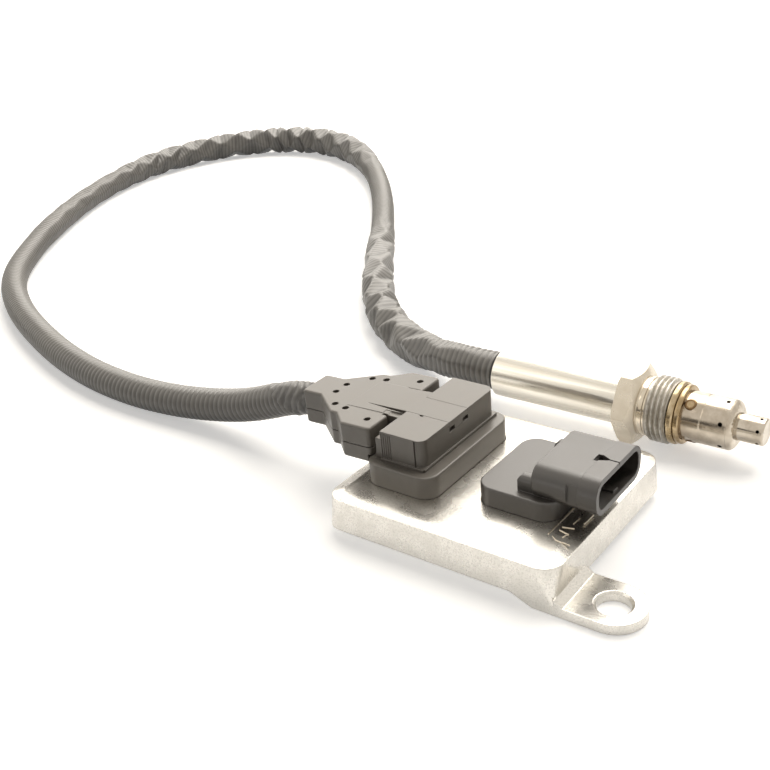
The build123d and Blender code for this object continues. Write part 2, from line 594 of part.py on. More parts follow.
def make_harness_connector():
    """Connector body: nose with a seal groove, rear shelf, tongue channel, hook notch and terminal cavities."""
    upright = slab(block_middle, BLOCK_Y, block_length, BLOCK_WIDTH, HARNESS_LEDGE_HEIGHT, BLOCK_TOP)
    right_corners = upright.edges().filter_by(Axis.Z).group_by(Axis.X)[-1]
    block = fillet(right_corners, BLOCK_FRONT_RADIUS)
    foot = slab(block_middle, BLOCK_Y, block_length, BLOCK_WIDTH + 2 * BLOCK_FOOT_PROUD, HARNESS_LEDGE_HEIGHT,
                HARNESS_LEDGE_HEIGHT + BLOCK_FOOT_RISE)
    foot += slab(block_middle + BLOCK_FOOT_PROUD / 2, BLOCK_Y, block_length + BLOCK_FOOT_PROUD, BLOCK_WIDTH,
                 HARNESS_LEDGE_HEIGHT, HARNESS_LEDGE_HEIGHT + BLOCK_FOOT_RISE)
    shelf = slab((shelf_left + block_left) / 2, BLOCK_Y, SHELF_LENGTH, BLOCK_WIDTH - 2 * SHELF_SET_BACK,
                 HARNESS_LEDGE_HEIGHT, SHELF_TOP)
    block = block - block_side_marks() + foot + shelf
    nose = slab(BLOCK_X, CONNECTOR_Y, NOSE_LENGTH, NOSE_WIDTH, nose_bottom, HARNESS_LEDGE_HEIGHT, NOSE_RADIUS)
    channel = slab(block_middle, CONNECTOR_Y, block_length, TONGUE_WIDTH + 2 * TONGUE_CLEARANCE,
                   tongue_underside - TONGUE_CLEARANCE, BLOCK_TOP)
    dimple = Pos(TONGUE_DIMPLE_X, CONNECTOR_Y - TONGUE_WIDTH / 2 - TONGUE_CLEARANCE, BLOCK_TOP - 1) * extrude(
        Circle(TONGUE_DIMPLE_RADIUS), amount=1)
    notch = slab(block_right - TONGUE_HOOK_THICKNESS / 2, CONNECTOR_Y, TONGUE_HOOK_THICKNESS + TONGUE_CLEARANCE,
                 TONGUE_WIDTH + 2 * TONGUE_CLEARANCE, BLOCK_TOP - TONGUE_HOOK - TONGUE_CLEARANCE, BLOCK_TOP)
    body = block + nose - channel - notch - dimple - seal_space()
    for place in ways(HARNESS_WAYS, HARNESS_PITCH):
        body -= terminal_envelope(place)
        body -= slab(BLOCK_X, place, HARNESS_PIN + 0.3, HARNESS_PIN + 0.3, nose_bottom, TERMINAL_FOOT)
    return body


def seal_space():
    """The connector seal: a band around the nose that fills the gap to the header's pocket."""
    bottom = nose_bottom + SEAL_LIFT
    outer = slab(BLOCK_X, CONNECTOR_Y, NOSE_LENGTH + 2 * NOSE_CLEARANCE, NOSE_WIDTH + 2 * NOSE_CLEARANCE,
                 bottom, bottom + SEAL_HEIGHT, NOSE_RADIUS + NOSE_CLEARANCE)
    inner = slab(BLOCK_X, CONNECTOR_Y, NOSE_LENGTH - 2 * SEAL_GROOVE_DEPTH, NOSE_WIDTH - 2 * SEAL_GROOVE_DEPTH,
                 bottom, bottom + SEAL_HEIGHT, NOSE_RADIUS - SEAL_GROOVE_DEPTH)
    return ring(outer, inner)


def make_terminals():
    """Box terminals over the pins, each with a barrel for its wire."""
    terminals = Part()
    for place in ways(HARNESS_WAYS, HARNESS_PITCH):
        bore = slab(BLOCK_X, place, TERMINAL_LENGTH - 2 * TERMINAL_WALL, TERMINAL_WIDTH - 2 * TERMINAL_WALL,
                    TERMINAL_FOOT, TERMINAL_TOP - 2 * BARREL_RADIUS)
        spring = slab(BLOCK_X, place, HARNESS_PIN + 0.8, HARNESS_PIN + 0.8, TERMINAL_FOOT + 1, HARNESS_PIN_TOP - 1)
        spring -= slab(BLOCK_X, place, HARNESS_PIN, HARNESS_PIN, TERMINAL_FOOT, HARNESS_PIN_TOP)
        wire_end = Pos(shelf_left, place, TERMINAL_TOP - BARREL_RADIUS) * Rot(Y=90) * Cylinder(
            WIRE_RADIUS, 2 * WIRE_CRIMP_LENGTH)
        terminals += terminal_envelope(place) - bore - wire_end + spring
    return terminals


# Wire cover in two halves, drawn level and then turned down a little towards the conduit
def drooped(shape):
    """A shape turned about the cover's top edge at the connector."""
    pivot = Pos(COVER_BODY_END, CONNECTOR_Y, COVER_TOP)
    return pivot * Rot(Y=-COVER_DROOP) * pivot.inverse() * shape


def drooped_point(x, y, z):
    """A point of the level cover where it comes to lie on the turned one."""
    turn = math.radians(-COVER_DROOP)
    away, up = x - COVER_BODY_END, z - COVER_TOP
    return (COVER_BODY_END + away * math.cos(turn) + up * math.sin(turn), y,
            COVER_TOP - away * math.sin(turn) + up * math.cos(turn))


def cover_outline(height):
    """Stepped plan of the cover from the conduit end to the connector."""
    upper = [(COVER_END, COVER_NECK_HALF_WIDTH), (COVER_NECK, COVER_NECK_HALF_WIDTH),
             (COVER_STEP_START, COVER_STEP_HALF_WIDTH), (COVER_STEP_END, COVER_STEP_HALF_WIDTH),
             (COVER_SHOULDER, COVER_HALF_WIDTH), (COVER_BODY_END, COVER_HALF_WIDTH)]
    points = upper + [(x, -half) for x, half in reversed(upper)]
    outline = FilletPolyline(*points, radius=COVER_CORNER_RADIUS, close=True)
    return Pos(0, CONNECTOR_Y, height) * make_face(outline)


def cover_strip():
    """The middle strip that meets the connector above and behind its shelf; its top slopes with the cover."""
    strip = slab((COVER_STEP_END + shelf_left) / 2, CONNECTOR_Y, shelf_left - COVER_STEP_END, CENTRE_STRIP_WIDTH,
                 COVER_BOTTOM + COVER_WALL, BLOCK_TOP)
    strip += slab((COVER_BODY_END + block_left) / 2, CONNECTOR_Y, block_left - COVER_BODY_END, CENTRE_STRIP_WIDTH,
                  SHELF_TOP, BLOCK_TOP)
    above = slab(COVER_STEP_END / 2, 0, -COVER_STEP_END, 2 * CENTRE_STRIP_WIDTH, 0, 3)
    strip -= Pos(block_left, CONNECTOR_Y, BLOCK_TOP) * Rot(Y=-STRIP_SLOPE) * above
    step = slab(block_left - STRIP_STEP_LENGTH / 2, CONNECTOR_Y - CENTRE_STRIP_WIDTH / 2, STRIP_STEP_LENGTH,
                2 * STRIP_STEP_WIDTH, BLOCK_TOP - STRIP_STEP_DEPTH, BLOCK_TOP)
    return strip - step


def cover_body():
    """The whole closed cover with soft edges, in place, with the notch beside its middle strip."""
    body = extrude(cover_outline(COVER_BOTTOM), amount=COVER_TOP - COVER_BOTTOM)
    rims = body.edges().group_by(Axis.Z)
    body = drooped(fillet(rims[0] + rims[-1], COVER_EDGE_RADIUS))
    notch_y = CONNECTOR_Y - CENTRE_STRIP_WIDTH / 2 - STRIP_NOTCH_LENGTH / 4
    body -= slab(COVER_BODY_END, notch_y, 2 * STRIP_NOTCH_LENGTH, STRIP_NOTCH_LENGTH / 2,
                 COVER_TOP - STRIP_NOTCH_DEPTH, COVER_TOP + 1)
    return body + cover_strip()


def cover_chamber():
    """The hollow for the wires: a funnel from the terminals to the conduit's bore."""
    bottom, top = COVER_BOTTOM + COVER_WALL, BLOCK_TOP - TONGUE_THICKNESS - COVER_FLOOR
    points = [(CHAMBER_END, CHAMBER_NARROW), (COVER_SHOULDER, CHAMBER_MIDDLE),
              (COVER_BODY_END - COVER_WALL, CHAMBER_WIDE)]
    outline = points + [(x, -half) for x, half in reversed(points)]
    funnel = Pos(0, CONNECTOR_Y, bottom) * extrude(make_face(Polyline(*outline, close=True)), amount=top - bottom)
    bore = Pos((COVER_END + CHAMBER_END) / 2, CONNECTOR_Y, CONDUIT_EXIT_HEIGHT) * Rot(Y=90) * Cylinder(
        COVER_BORE_RADIUS, CHAMBER_END - COVER_END)
    wire_z = TERMINAL_TOP - BARREL_RADIUS
    passages = Part()
    for place in ways(HARNESS_WAYS, HARNESS_PITCH):
        length = shelf_left - COVER_BODY_END + 2 * COVER_WALL
        start = COVER_BODY_END - 2 * COVER_WALL
        passages += Pos(start + length / 2, place, wire_z) * Rot(Y=90) * Cylinder(BARREL_RADIUS, length)
    return drooped(funnel + bore) + passages


def cover_holes(radius, bottom, top, pins_only):
    """Round holes of the cover's top, in mirrored pairs; all but the first pair take pins."""
    holes = Part()
    for behind, away, pinned in COVER_HOLES:
        if pinned or not pins_only:
            hole = extrude(Circle(radius), amount=top - bottom)
            holes += both_sides(Pos(COVER_BODY_END - behind, CONNECTOR_Y + away, bottom) * hole)
    return drooped(holes)


def beyond_split(bottom, top):
    """A large block on one side of the plane between the two halves."""
    return drooped(slab((COVER_END + block_right) / 2, CONNECTOR_Y, 1.5 * (block_right - COVER_END),
                        4 * COVER_HALF_WIDTH, bottom, top))


def make_cover_top():
    """Upper half with the latching tongue that lies flush in the connector's top."""
    half = cover_body() - cover_chamber() - beyond_split(COVER_BOTTOM - 5, COVER_SPLIT)
    half -= cover_holes(COVER_HOLE_RADIUS, COVER_SPLIT, BLOCK_TOP + 1, False)
    tongue_left = block_left - TONGUE_SLOT_LENGTH
    near_side = CONNECTOR_Y - TONGUE_WIDTH / 2
    slot = Polyline((tongue_left, near_side), (block_left, near_side - TONGUE_SLOT_WIDTH), (block_left, near_side),
                    close=True)
    depth = TONGUE_THICKNESS + COVER_FLOOR
    half -= Pos(0, 0, BLOCK_TOP - depth) * extrude(make_face(slot), amount=depth)
    far_side = CONNECTOR_Y + CENTRE_STRIP_WIDTH / 2
    half -= slab(COVER_BODY_END - FAR_SLOT_LENGTH / 2 + 2, far_side, FAR_SLOT_LENGTH, FAR_SLOT_WIDTH,
                 BLOCK_TOP - TONGUE_THICKNESS, BLOCK_TOP)
    tongue = slab(block_middle, CONNECTOR_Y, block_length, TONGUE_WIDTH, tongue_underside, BLOCK_TOP)
    hook = slab(block_right - TONGUE_HOOK_THICKNESS / 2, CONNECTOR_Y, TONGUE_HOOK_THICKNESS,
                TONGUE_WIDTH - 2 * HOOK_NOTCH, BLOCK_TOP - TONGUE_HOOK, BLOCK_TOP)
    return half + tongue + hook


def make_cover_bottom():
    """Lower half; its pins stand in the holes of the upper half."""
    half = cover_body() - cover_chamber() - beyond_split(COVER_SPLIT, BLOCK_TOP + 5)
    riser_left = HARNESS_X - HARNESS_RISER_LENGTH / 2 - COVER_LEDGE_GAP
    ledge_top = HARNESS_LEDGE_HEIGHT + COVER_LEDGE_GAP
    half -= slab((riser_left + block_left) / 2, CONNECTOR_Y, block_left - riser_left, 4 * COVER_HALF_WIDTH,
                 0, ledge_top)
    return half + cover_holes(COVER_HOLE_RADIUS - COVER_PIN_CLEARANCE, COVER_SPLIT, BLOCK_TOP - COVER_PIN_DROP, True)


def make_harness_wires():
    """Wires from the terminals that gather in the cover's funnel and run on to the conduit."""
    wire_z = TERMINAL_TOP - BARREL_RADIUS
    wires = Part()
    for index, place in enumerate(ways(HARNESS_WAYS, HARNESS_PITCH)):
        column, row = divmod(index, 2)
        end_y = CONNECTOR_Y + (column - (HARNESS_WAYS / 2 - 1) / 2) * WIRE_SPACING
        end_z = CONDUIT_EXIT_HEIGHT + (row - 0.5) * WIRE_SPACING
        start = (shelf_left + WIRE_CRIMP_LENGTH, place, wire_z)
        turn_out = (COVER_BODY_END - 2 * COVER_WALL, place, wire_z)
        turn_in = drooped_point(COVER_NECK + 2, end_y, end_z)
        path = FilletPolyline(start, turn_out, turn_in, drooped_point(COVER_END, end_y, end_z), radius=5)
        section = Plane(origin=start, z_dir=(-1, 0, 0)) * Circle(WIRE_RADIUS)
        wires += sweep(section, path=path)
    return wires


# Conduit: a plain tube of straight runs joined by arcs
CONDUIT_POINTS = [
    drooped_point(COVER_END, CONNECTOR_Y, CONDUIT_EXIT_HEIGHT),
    drooped_point(COVER_END - CONDUIT_EXIT_LENGTH, CONNECTOR_Y, CONDUIT_EXIT_HEIGHT),
    (-73.2, -0.4, 18.6), (-81.5, -0.1, 15.0), (-92.5, 0.0, 11.0), (-107.0, -0.8, 7.9), (-125.0, -2.4, 6.0),
    (-146.7, -3.3, CONDUIT_REST), (-173.3, -0.4, CONDUIT_REST), (-205.7, 8.5, CONDUIT_REST),
    (-248.2, 25.6, CONDUIT_REST), (-284.0, 47.8, CONDUIT_REST), (-310.7, 77.7, CONDUIT_REST),
    (-332.7, 109.9, CONDUIT_REST), (-352.8, 145.7, CONDUIT_REST), (-365.4, 178.2, CONDUIT_REST),
    (-371.3, 212.3, CONDUIT_REST), (-365.5, 241.8, CONDUIT_REST), (-353.4, 266.2, CONDUIT_REST),
    (-333.7, 283.0, CONDUIT_REST), (-310.2, 290.6, CONDUIT_REST), (-286.2, 287.8, CONDUIT_REST),
    (-256.5, 274.0, CONDUIT_REST), (-223.8, 245.4, CONDUIT_REST), (-194.0, 210.5, CONDUIT_REST),
    (-165.3, 171.5, CONDUIT_REST), (-142.2, 137.4, CONDUIT_REST), (-124.2, 112.2, CONDUIT_REST),
    (-107.7, 92.1, CONDUIT_REST), (-91.0, 77.8, 5.9), (-74.8, 67.8, 7.4), (-59.9, 60.9, 9.5),
    (-46.0, PROBE_Y, PROBE_Z), (SLEEVE_REAR - GROMMET_FLANGE, PROBE_Y, PROBE_Z),
]


def conduit_radii(points):
    """The largest arc that the two runs beside each corner allow."""
    radii = []
    for before, corner, after in zip(points, points[1:], points[2:]):
        run_in, run_out = Vector(*corner) - Vector(*before), Vector(*after) - Vector(*corner)
        half_turn = math.radians(run_in.get_angle(run_out)) / 2
        radii.append(0.45 * min(run_in.length, run_out.length) / math.tan(half_turn))
    return radii


def make_conduit():
    """The conduit as one solid along its whole route."""
    radii = conduit_radii(CONDUIT_POINTS)
    path = FilletPolyline(*CONDUIT_POINTS, radius=radii)
    first_run = Vector(*CONDUIT_POINTS[1]) - Vector(*CONDUIT_POINTS[0])
    section = Plane(origin=CONDUIT_POINTS[0], z_dir=first_run) * Circle(CONDUIT_DIAMETER / 2)
    tube = sweep(section, path=path)
    expected = math.pi * (CONDUIT_DIAMETER / 2) ** 2 * path.length
    print("conduit radii", [round(radius, 1) for radius in radii])
    print(f"conduit length {path.length:.1f}, volume {tube.volume:.0f}, section x length {expected:.0f}")
    return tube


# Probe
def make_sleeve():
    """Drawn steel sleeve with a rolled rear edge."""
    inner = SLEEVE_RADIUS - SLEEVE_WALL
    return turned([(SLEEVE_REAR, inner), (SLEEVE_FRONT, inner), (SLEEVE_FRONT, SLEEVE_RADIUS),
                   (SLEEVE_REAR + SLEEVE_ROLL, SLEEVE_RADIUS), (SLEEVE_REAR, SLEEVE_RADIUS - 0.6 * SLEEVE_WALL)])


def make_gland_nut():
    """Loose gland nut: hexagon, neck and threaded shank over the sleeve."""
    corner_radius = HEX_ACROSS_FLATS / math.sqrt(3)
    plane = Plane(origin=(HEX_REAR, PROBE_Y, PROBE_Z), x_dir=(0, 1, 0), z_dir=(1, 0, 0))
    hexagon = extrude(plane * RegularPolygon(corner_radius, 6), amount=HEX_LENGTH + HEX_CONE)
    hex_end = HEX_REAR + HEX_LENGTH + HEX_CONE
    beyond = corner_radius + 1
    hexagon -= turned([(hex_end, NECK_RADIUS + 0.6), (hex_end + 1, NECK_RADIUS + 0.6), (hex_end + 1, beyond),
                       (hex_end - HEX_CONE - 1.0, beyond), (hex_end - HEX_CONE - 1.0, corner_radius)])
    hexagon -= turned([(HEX_REAR, corner_radius - 0.9), (HEX_REAR + 0.7, corner_radius), (HEX_REAR + 0.7, beyond),
                       (HEX_REAR - 1, beyond), (HEX_REAR - 1, corner_radius - 0.9)])
    shank = turned([(hex_end, 0), (THREAD_END, 0), (THREAD_END, THREAD_RADIUS - THREAD_CHAMFER),
                    (THREAD_END - THREAD_CHAMFER, THREAD_RADIUS), (THREAD_START + THREAD_CHAMFER, THREAD_RADIUS),
                    (THREAD_START, NECK_RADIUS), (hex_end, NECK_RADIUS)])
    bore = turned([(HEX_REAR, 0), (THREAD_END, 0), (THREAD_END, SLEEVE_RADIUS + NUT_RUNNING_CLEARANCE),
                   (HEX_REAR, SLEEVE_RADIUS + NUT_RUNNING_CLEARANCE)])
    return hexagon + shank - bore


def make_sensor_body():
    """Turned body: rear spigot in the sleeve, barrel inside the nut, seat flange and front spigot."""
    spigot = SLEEVE_RADIUS - SLEEVE_WALL
    front_spigot = OUTER_TUBE_RADIUS - OUTER_TUBE_WALL
    rounding = FLANGE_ROUNDING
    profile = [(BODY_REAR, BODY_BORE_RADIUS), (SPIGOT_END, BODY_BORE_RADIUS), (SPIGOT_END, front_spigot),
               (FLANGE_END, front_spigot), (FLANGE_END, FLANGE_RADIUS - rounding / 2),
               (FLANGE_END - rounding / 2, FLANGE_RADIUS), (FLANGE_START + rounding / 2, FLANGE_RADIUS),
               (FLANGE_START, FLANGE_RADIUS - rounding / 2), (FLANGE_START, SLEEVE_RADIUS),
               (SLEEVE_FRONT, SLEEVE_RADIUS), (SLEEVE_FRONT, spigot), (BODY_REAR, spigot)]
    return turned(profile)


def make_seal_ring():
    """Rounded sealing ring against the flange's front face."""
    inner = OUTER_TUBE_RADIUS - OUTER_TUBE_WALL
    rounding = FLANGE_ROUNDING
    start, end = FLANGE_END, SEAL_RING_END
    return turned([(start, inner), (end, inner), (end, SEAL_RING_RADIUS - rounding),
                   (end - rounding / 3, SEAL_RING_RADIUS - rounding / 3), (end - rounding, SEAL_RING_RADIUS),
                   (start + rounding / 3, SEAL_RING_RADIUS), (start, SEAL_RING_RADIUS - rounding / 3)])


def make_outer_tube():
    """Outer protection tube, drawn in to the inner tube at its end, with gas holes and crimps."""
    radius, wall, end = OUTER_TUBE_RADIUS, OUTER_TUBE_WALL, OUTER_TUBE_END
    mouth = INNER_TUBE_RADIUS + INNER_TUBE_CLEARANCE
    soft = OUTER_TUBE_ROUNDING
    outside = [(SEAL_RING_END, radius), (OUTER_TUBE_CREASE - 0.4, radius), (OUTER_TUBE_CREASE, radius - 0.15),
               (OUTER_TUBE_CREASE + 0.4, radius), (OUTER_TUBE_BEAD, radius), (OUTER_TUBE_BEAD + 0.2, radius - 0.15),
               (OUTER_TUBE_BEAD + 0.4, radius), (end - 0.4 * soft, radius - 0.35 * soft),
               (end, radius - 1.1 * soft), (end, mouth)]
    inside = [(end - wall, mouth), (end - wall, radius - 1.1 * soft - wall), (end - soft, radius - wall),
              (SEAL_RING_END, radius - wall)]
    tube = turned(outside + inside)
    hole = Pos(OUTER_TUBE_HOLE_X, 0, 0) * Rot(X=90) * Pos(0, 0, radius) * Cylinder(OUTER_TUBE_HOLE_RADIUS, 3 * wall)
    tube -= around_probe(hole, TUBE_HOLE_COUNT, -TUBE_HOLE_ANGLE)
    crimp = Pos(CRIMP_X, 0, 0) * Rot(X=90) * Pos(0, 0, radius) * Cylinder(CRIMP_RADIUS, 2 * CRIMP_DEPTH)
    return tube - around_probe(crimp, CRIMP_COUNT, -2 * TUBE_HOLE_ANGLE)


def make_inner_tube():
    """Inner protection tube with a foot flange against the body and a closed, rounded tip."""
    radius, wall, end = INNER_TUBE_RADIUS, INNER_TUBE_WALL, INNER_TUBE_END
    foot = OUTER_TUBE_RADIUS - OUTER_TUBE_WALL
    profile = [(SPIGOT_END, radius - wall), (end - wall, radius - wall), (end - wall, 0), (end, 0),
               (end, radius - wall), (end - wall, radius), (SPIGOT_END + wall, radius),
               (SPIGOT_END + wall, foot), (SPIGOT_END, foot)]
    tube = turned(profile)
    hole = Pos(INNER_TUBE_HOLE_X, 0, 0) * Rot(X=90) * Pos(0, 0, radius) * Cylinder(INNER_TUBE_HOLE_RADIUS, 3 * wall)
    return tube - around_probe(hole, TUBE_HOLE_COUNT, -TUBE_HOLE_ANGLE)


def element_space():
    """The sensing element: a flat ceramic bar along the axis."""
    length = ELEMENT_FRONT - ELEMENT_REAR
    return Pos((ELEMENT_FRONT + ELEMENT_REAR) / 2, PROBE_Y, PROBE_Z) * Box(length, ELEMENT_WIDTH, ELEMENT_THICKNESS)


front_bush_end = SPIGOT_END
front_bush_start = front_bush_end - FRONT_BUSH_LENGTH
packing_start = front_bush_start - PACKING_LENGTH
rear_bush_start = packing_start - REAR_BUSH_LENGTH


def bush(start, end):
    """A ceramic or powder plug in the body's bore, slotted for the sensing element."""
    return turned_tube(start, end, BODY_BORE_RADIUS, 0) - element_space()


def make_contact_carrier():
    """Ceramic carrier that clamps the contacts onto the sensing element's rear end."""
    end = BODY_REAR - CARRIER_GAP
    start = end - CARRIER_LENGTH
    carrier = turned_tube(start, end, SLEEVE_RADIUS - SLEEVE_WALL - CARRIER_GAP, 0)
    room = Pos((start + end) / 2, PROBE_Y, PROBE_Z) * Box(
        CARRIER_LENGTH, ELEMENT_WIDTH, ELEMENT_THICKNESS + 2 * CONTACT_THICKNESS)
    return carrier - room


def make_contacts():
    """Flat springs on both faces of the sensing element."""
    end = BODY_REAR - CARRIER_GAP
    height = (ELEMENT_THICKNESS + CONTACT_THICKNESS) / 2
    strips = Part()
    for row in (-1, 1):
        for index in range(HARNESS_WAYS // 2):
            away = (index - (HARNESS_WAYS // 2 - 1) / 2) * CONTACT_PITCH
            strips += Pos(end - CONTACT_LENGTH / 2 - 1, PROBE_Y + away, PROBE_Z + row * height) * Box(
                CONTACT_LENGTH, CONTACT_WIDTH, CONTACT_THICKNESS)
    return strips


def lead_bores(radius, start, end):
    """A ring of wires or wire bores through the grommet."""
    wire = Pos((start + end) / 2, LEAD_CIRCLE_RADIUS, 0) * Rot(Y=90) * Cylinder(radius, end - start)
    return around_probe(wire, HARNESS_WAYS, 0)


def make_grommet():
    """Rubber grommet in the sleeve's rear end with a flange behind it."""
    inner = SLEEVE_RADIUS - SLEEVE_WALL
    start = SLEEVE_REAR - GROMMET_FLANGE
    body = turned([(start, 0), (SLEEVE_REAR + GROMMET_LENGTH, 0), (SLEEVE_REAR + GROMMET_LENGTH, inner),
                   (SLEEVE_REAR, inner), (SLEEVE_REAR, GROMMET_FLANGE_RADIUS), (start, GROMMET_FLANGE_RADIUS)])
    return body - lead_bores(WIRE_RADIUS, start, SLEEVE_REAR + GROMMET_LENGTH)


def make_sensor_wires():
    """Wires through the grommet up to the contact carrier."""
    return lead_bores(WIRE_RADIUS, SLEEVE_REAR - GROMMET_FLANGE, BODY_REAR - CARRIER_GAP - CARRIER_LENGTH)


NODES = {
    "housing": make_housing(),
    "base_plate": make_base_plate(),
    "base_seal": make_base_seal(),
    "circuit_board": make_board(),
    "board_screws": make_board_screws(),
    "microcontroller": chip(CHIP_X, 0, CHIP_SIZE, CHIP_SIZE),
    "sensor_driver_chip": chip(DRIVER_X, DRIVER_Y, DRIVER_SIZE, DRIVER_SIZE),
    "supply_regulator": chip(REGULATOR_X, REGULATOR_Y, REGULATOR_LENGTH, REGULATOR_WIDTH),
    "capacitors": make_capacitors(),
    "harness_header": make_harness_header(),
    "harness_header_gasket": make_gasket(HARNESS_X, HARNESS_RISER_LENGTH, HARNESS_RISER_WIDTH, HARNESS_RISER_RADIUS),
    "harness_header_pins": harness_pins(),
    "supply_header": make_supply_header(),
    "supply_header_gasket": make_gasket(SUPPLY_X, SUPPLY_PAD_LENGTH, SUPPLY_PAD_WIDTH, SUPPLY_PAD_RADIUS),
    "supply_header_pins": supply_pins(),
    "harness_connector": make_harness_connector(),
    "connector_seal": seal_space(),
    "connector_terminals": make_terminals(),
    "cover_top_half": make_cover_top(),
    "cover_bottom_half": make_cover_bottom(),
    "harness_wires": make_harness_wires(),
    "conduit": make_conduit(),
    "probe_sleeve": make_sleeve(),
    "gland_nut": make_gland_nut(),
    "sensor_body": make_sensor_body(),
    "seal_ring": make_seal_ring(),
    "outer_protection_tube": make_outer_tube(),
    "inner_protection_tube": make_inner_tube(),
    "sensing_element": element_space(),
    "front_bush": bush(front_bush_start, front_bush_end),
    "powder_packing": bush(packing_start, front_bush_start),
    "rear_bush": bush(rear_bush_start, packing_start),
    "contact_carrier": make_contact_carrier(),
    "contact_springs": make_contacts(),
    "sleeve_grommet": make_grommet(),
    "sensor_wires": make_sensor_wires(),
}

for node, shape in NODES.items():
    save(node, shape)
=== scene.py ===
"""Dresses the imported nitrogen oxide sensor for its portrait.

Everything is in metres in the frame of the solids: +Z up, +X towards the probe's tip.
"""
import logging
import math
from dataclasses import dataclass
from enum import Enum

import bmesh
import bpy
from mathutils import Matrix, Vector, noise


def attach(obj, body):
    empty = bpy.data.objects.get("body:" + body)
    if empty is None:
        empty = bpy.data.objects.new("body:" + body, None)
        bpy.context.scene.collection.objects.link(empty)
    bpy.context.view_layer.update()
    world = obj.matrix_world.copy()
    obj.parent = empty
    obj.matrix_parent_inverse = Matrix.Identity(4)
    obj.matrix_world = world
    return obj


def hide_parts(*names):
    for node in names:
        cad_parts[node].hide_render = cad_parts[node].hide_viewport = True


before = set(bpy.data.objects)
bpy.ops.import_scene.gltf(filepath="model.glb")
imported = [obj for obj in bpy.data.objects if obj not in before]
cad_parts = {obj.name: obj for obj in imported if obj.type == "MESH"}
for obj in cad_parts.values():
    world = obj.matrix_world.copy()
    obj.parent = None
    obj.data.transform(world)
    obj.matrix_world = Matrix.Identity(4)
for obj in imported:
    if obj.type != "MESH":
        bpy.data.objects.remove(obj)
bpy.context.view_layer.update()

log = logging.getLogger("sensor")

MM = 0.001
# Corners closer than this are one, in metres.
WELD = 2e-6
# Faces that meet at less than this angle are one.
FLAT_DEG = 0.6
# Edges sharper than this are rounded, and stay sharp in the shading.
CREASE_DEG = 32.0
PROBE_AXIS = Vector((0.0, 57.7 * MM, 11.0 * MM))
Colour = tuple[float, float, float, float]
Place = tuple[float, float, float]
Socket = bpy.types.NodeSocket
NodeTree = bpy.types.NodeTree
Mesh = bmesh.types.BMesh


class Body(Enum):
    """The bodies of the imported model."""

    SENSOR = "sensor"
    GLAND_NUT = "gland_nut"


def linear(hex_colour: str) -> Colour:
    """Turns an sRGB hex colour to the linear colour that a shader takes.

    Args:
        hex_colour: Six hex digits.

    Returns:
        Linear red, green, blue and an alpha of one.
    """
    parts = [int(hex_colour[i:i + 2], 16) / 255 for i in (0, 2, 4)]
    red, green, blue = (c / 12.92 if c <= 0.04045 else ((c + 0.055) / 1.055) ** 2.4 for c in parts)
    return red, green, blue, 1.0


def add_node(tree: NodeTree, kind: str, inputs: dict | None = None, **settings: object) -> bpy.types.Node:
    """Adds one shader node with its settings, values and links.

    Args:
        tree: The node tree that takes the node.
        kind: Blender's name of the node type, less its ShaderNode.
        inputs: Socket name or number to a value, or to an output socket to link from.
        settings: The node's own properties.

    Returns:
        The new node.
    """
    node = tree.nodes.new("ShaderNode" + kind)
    for name, value in settings.items():
        setattr(node, name, value)
    for socket, value in (inputs or {}).items():
        if isinstance(value, Socket):
            tree.links.new(value, node.inputs[socket])
        else:
            node.inputs[socket].default_value = value
    return node


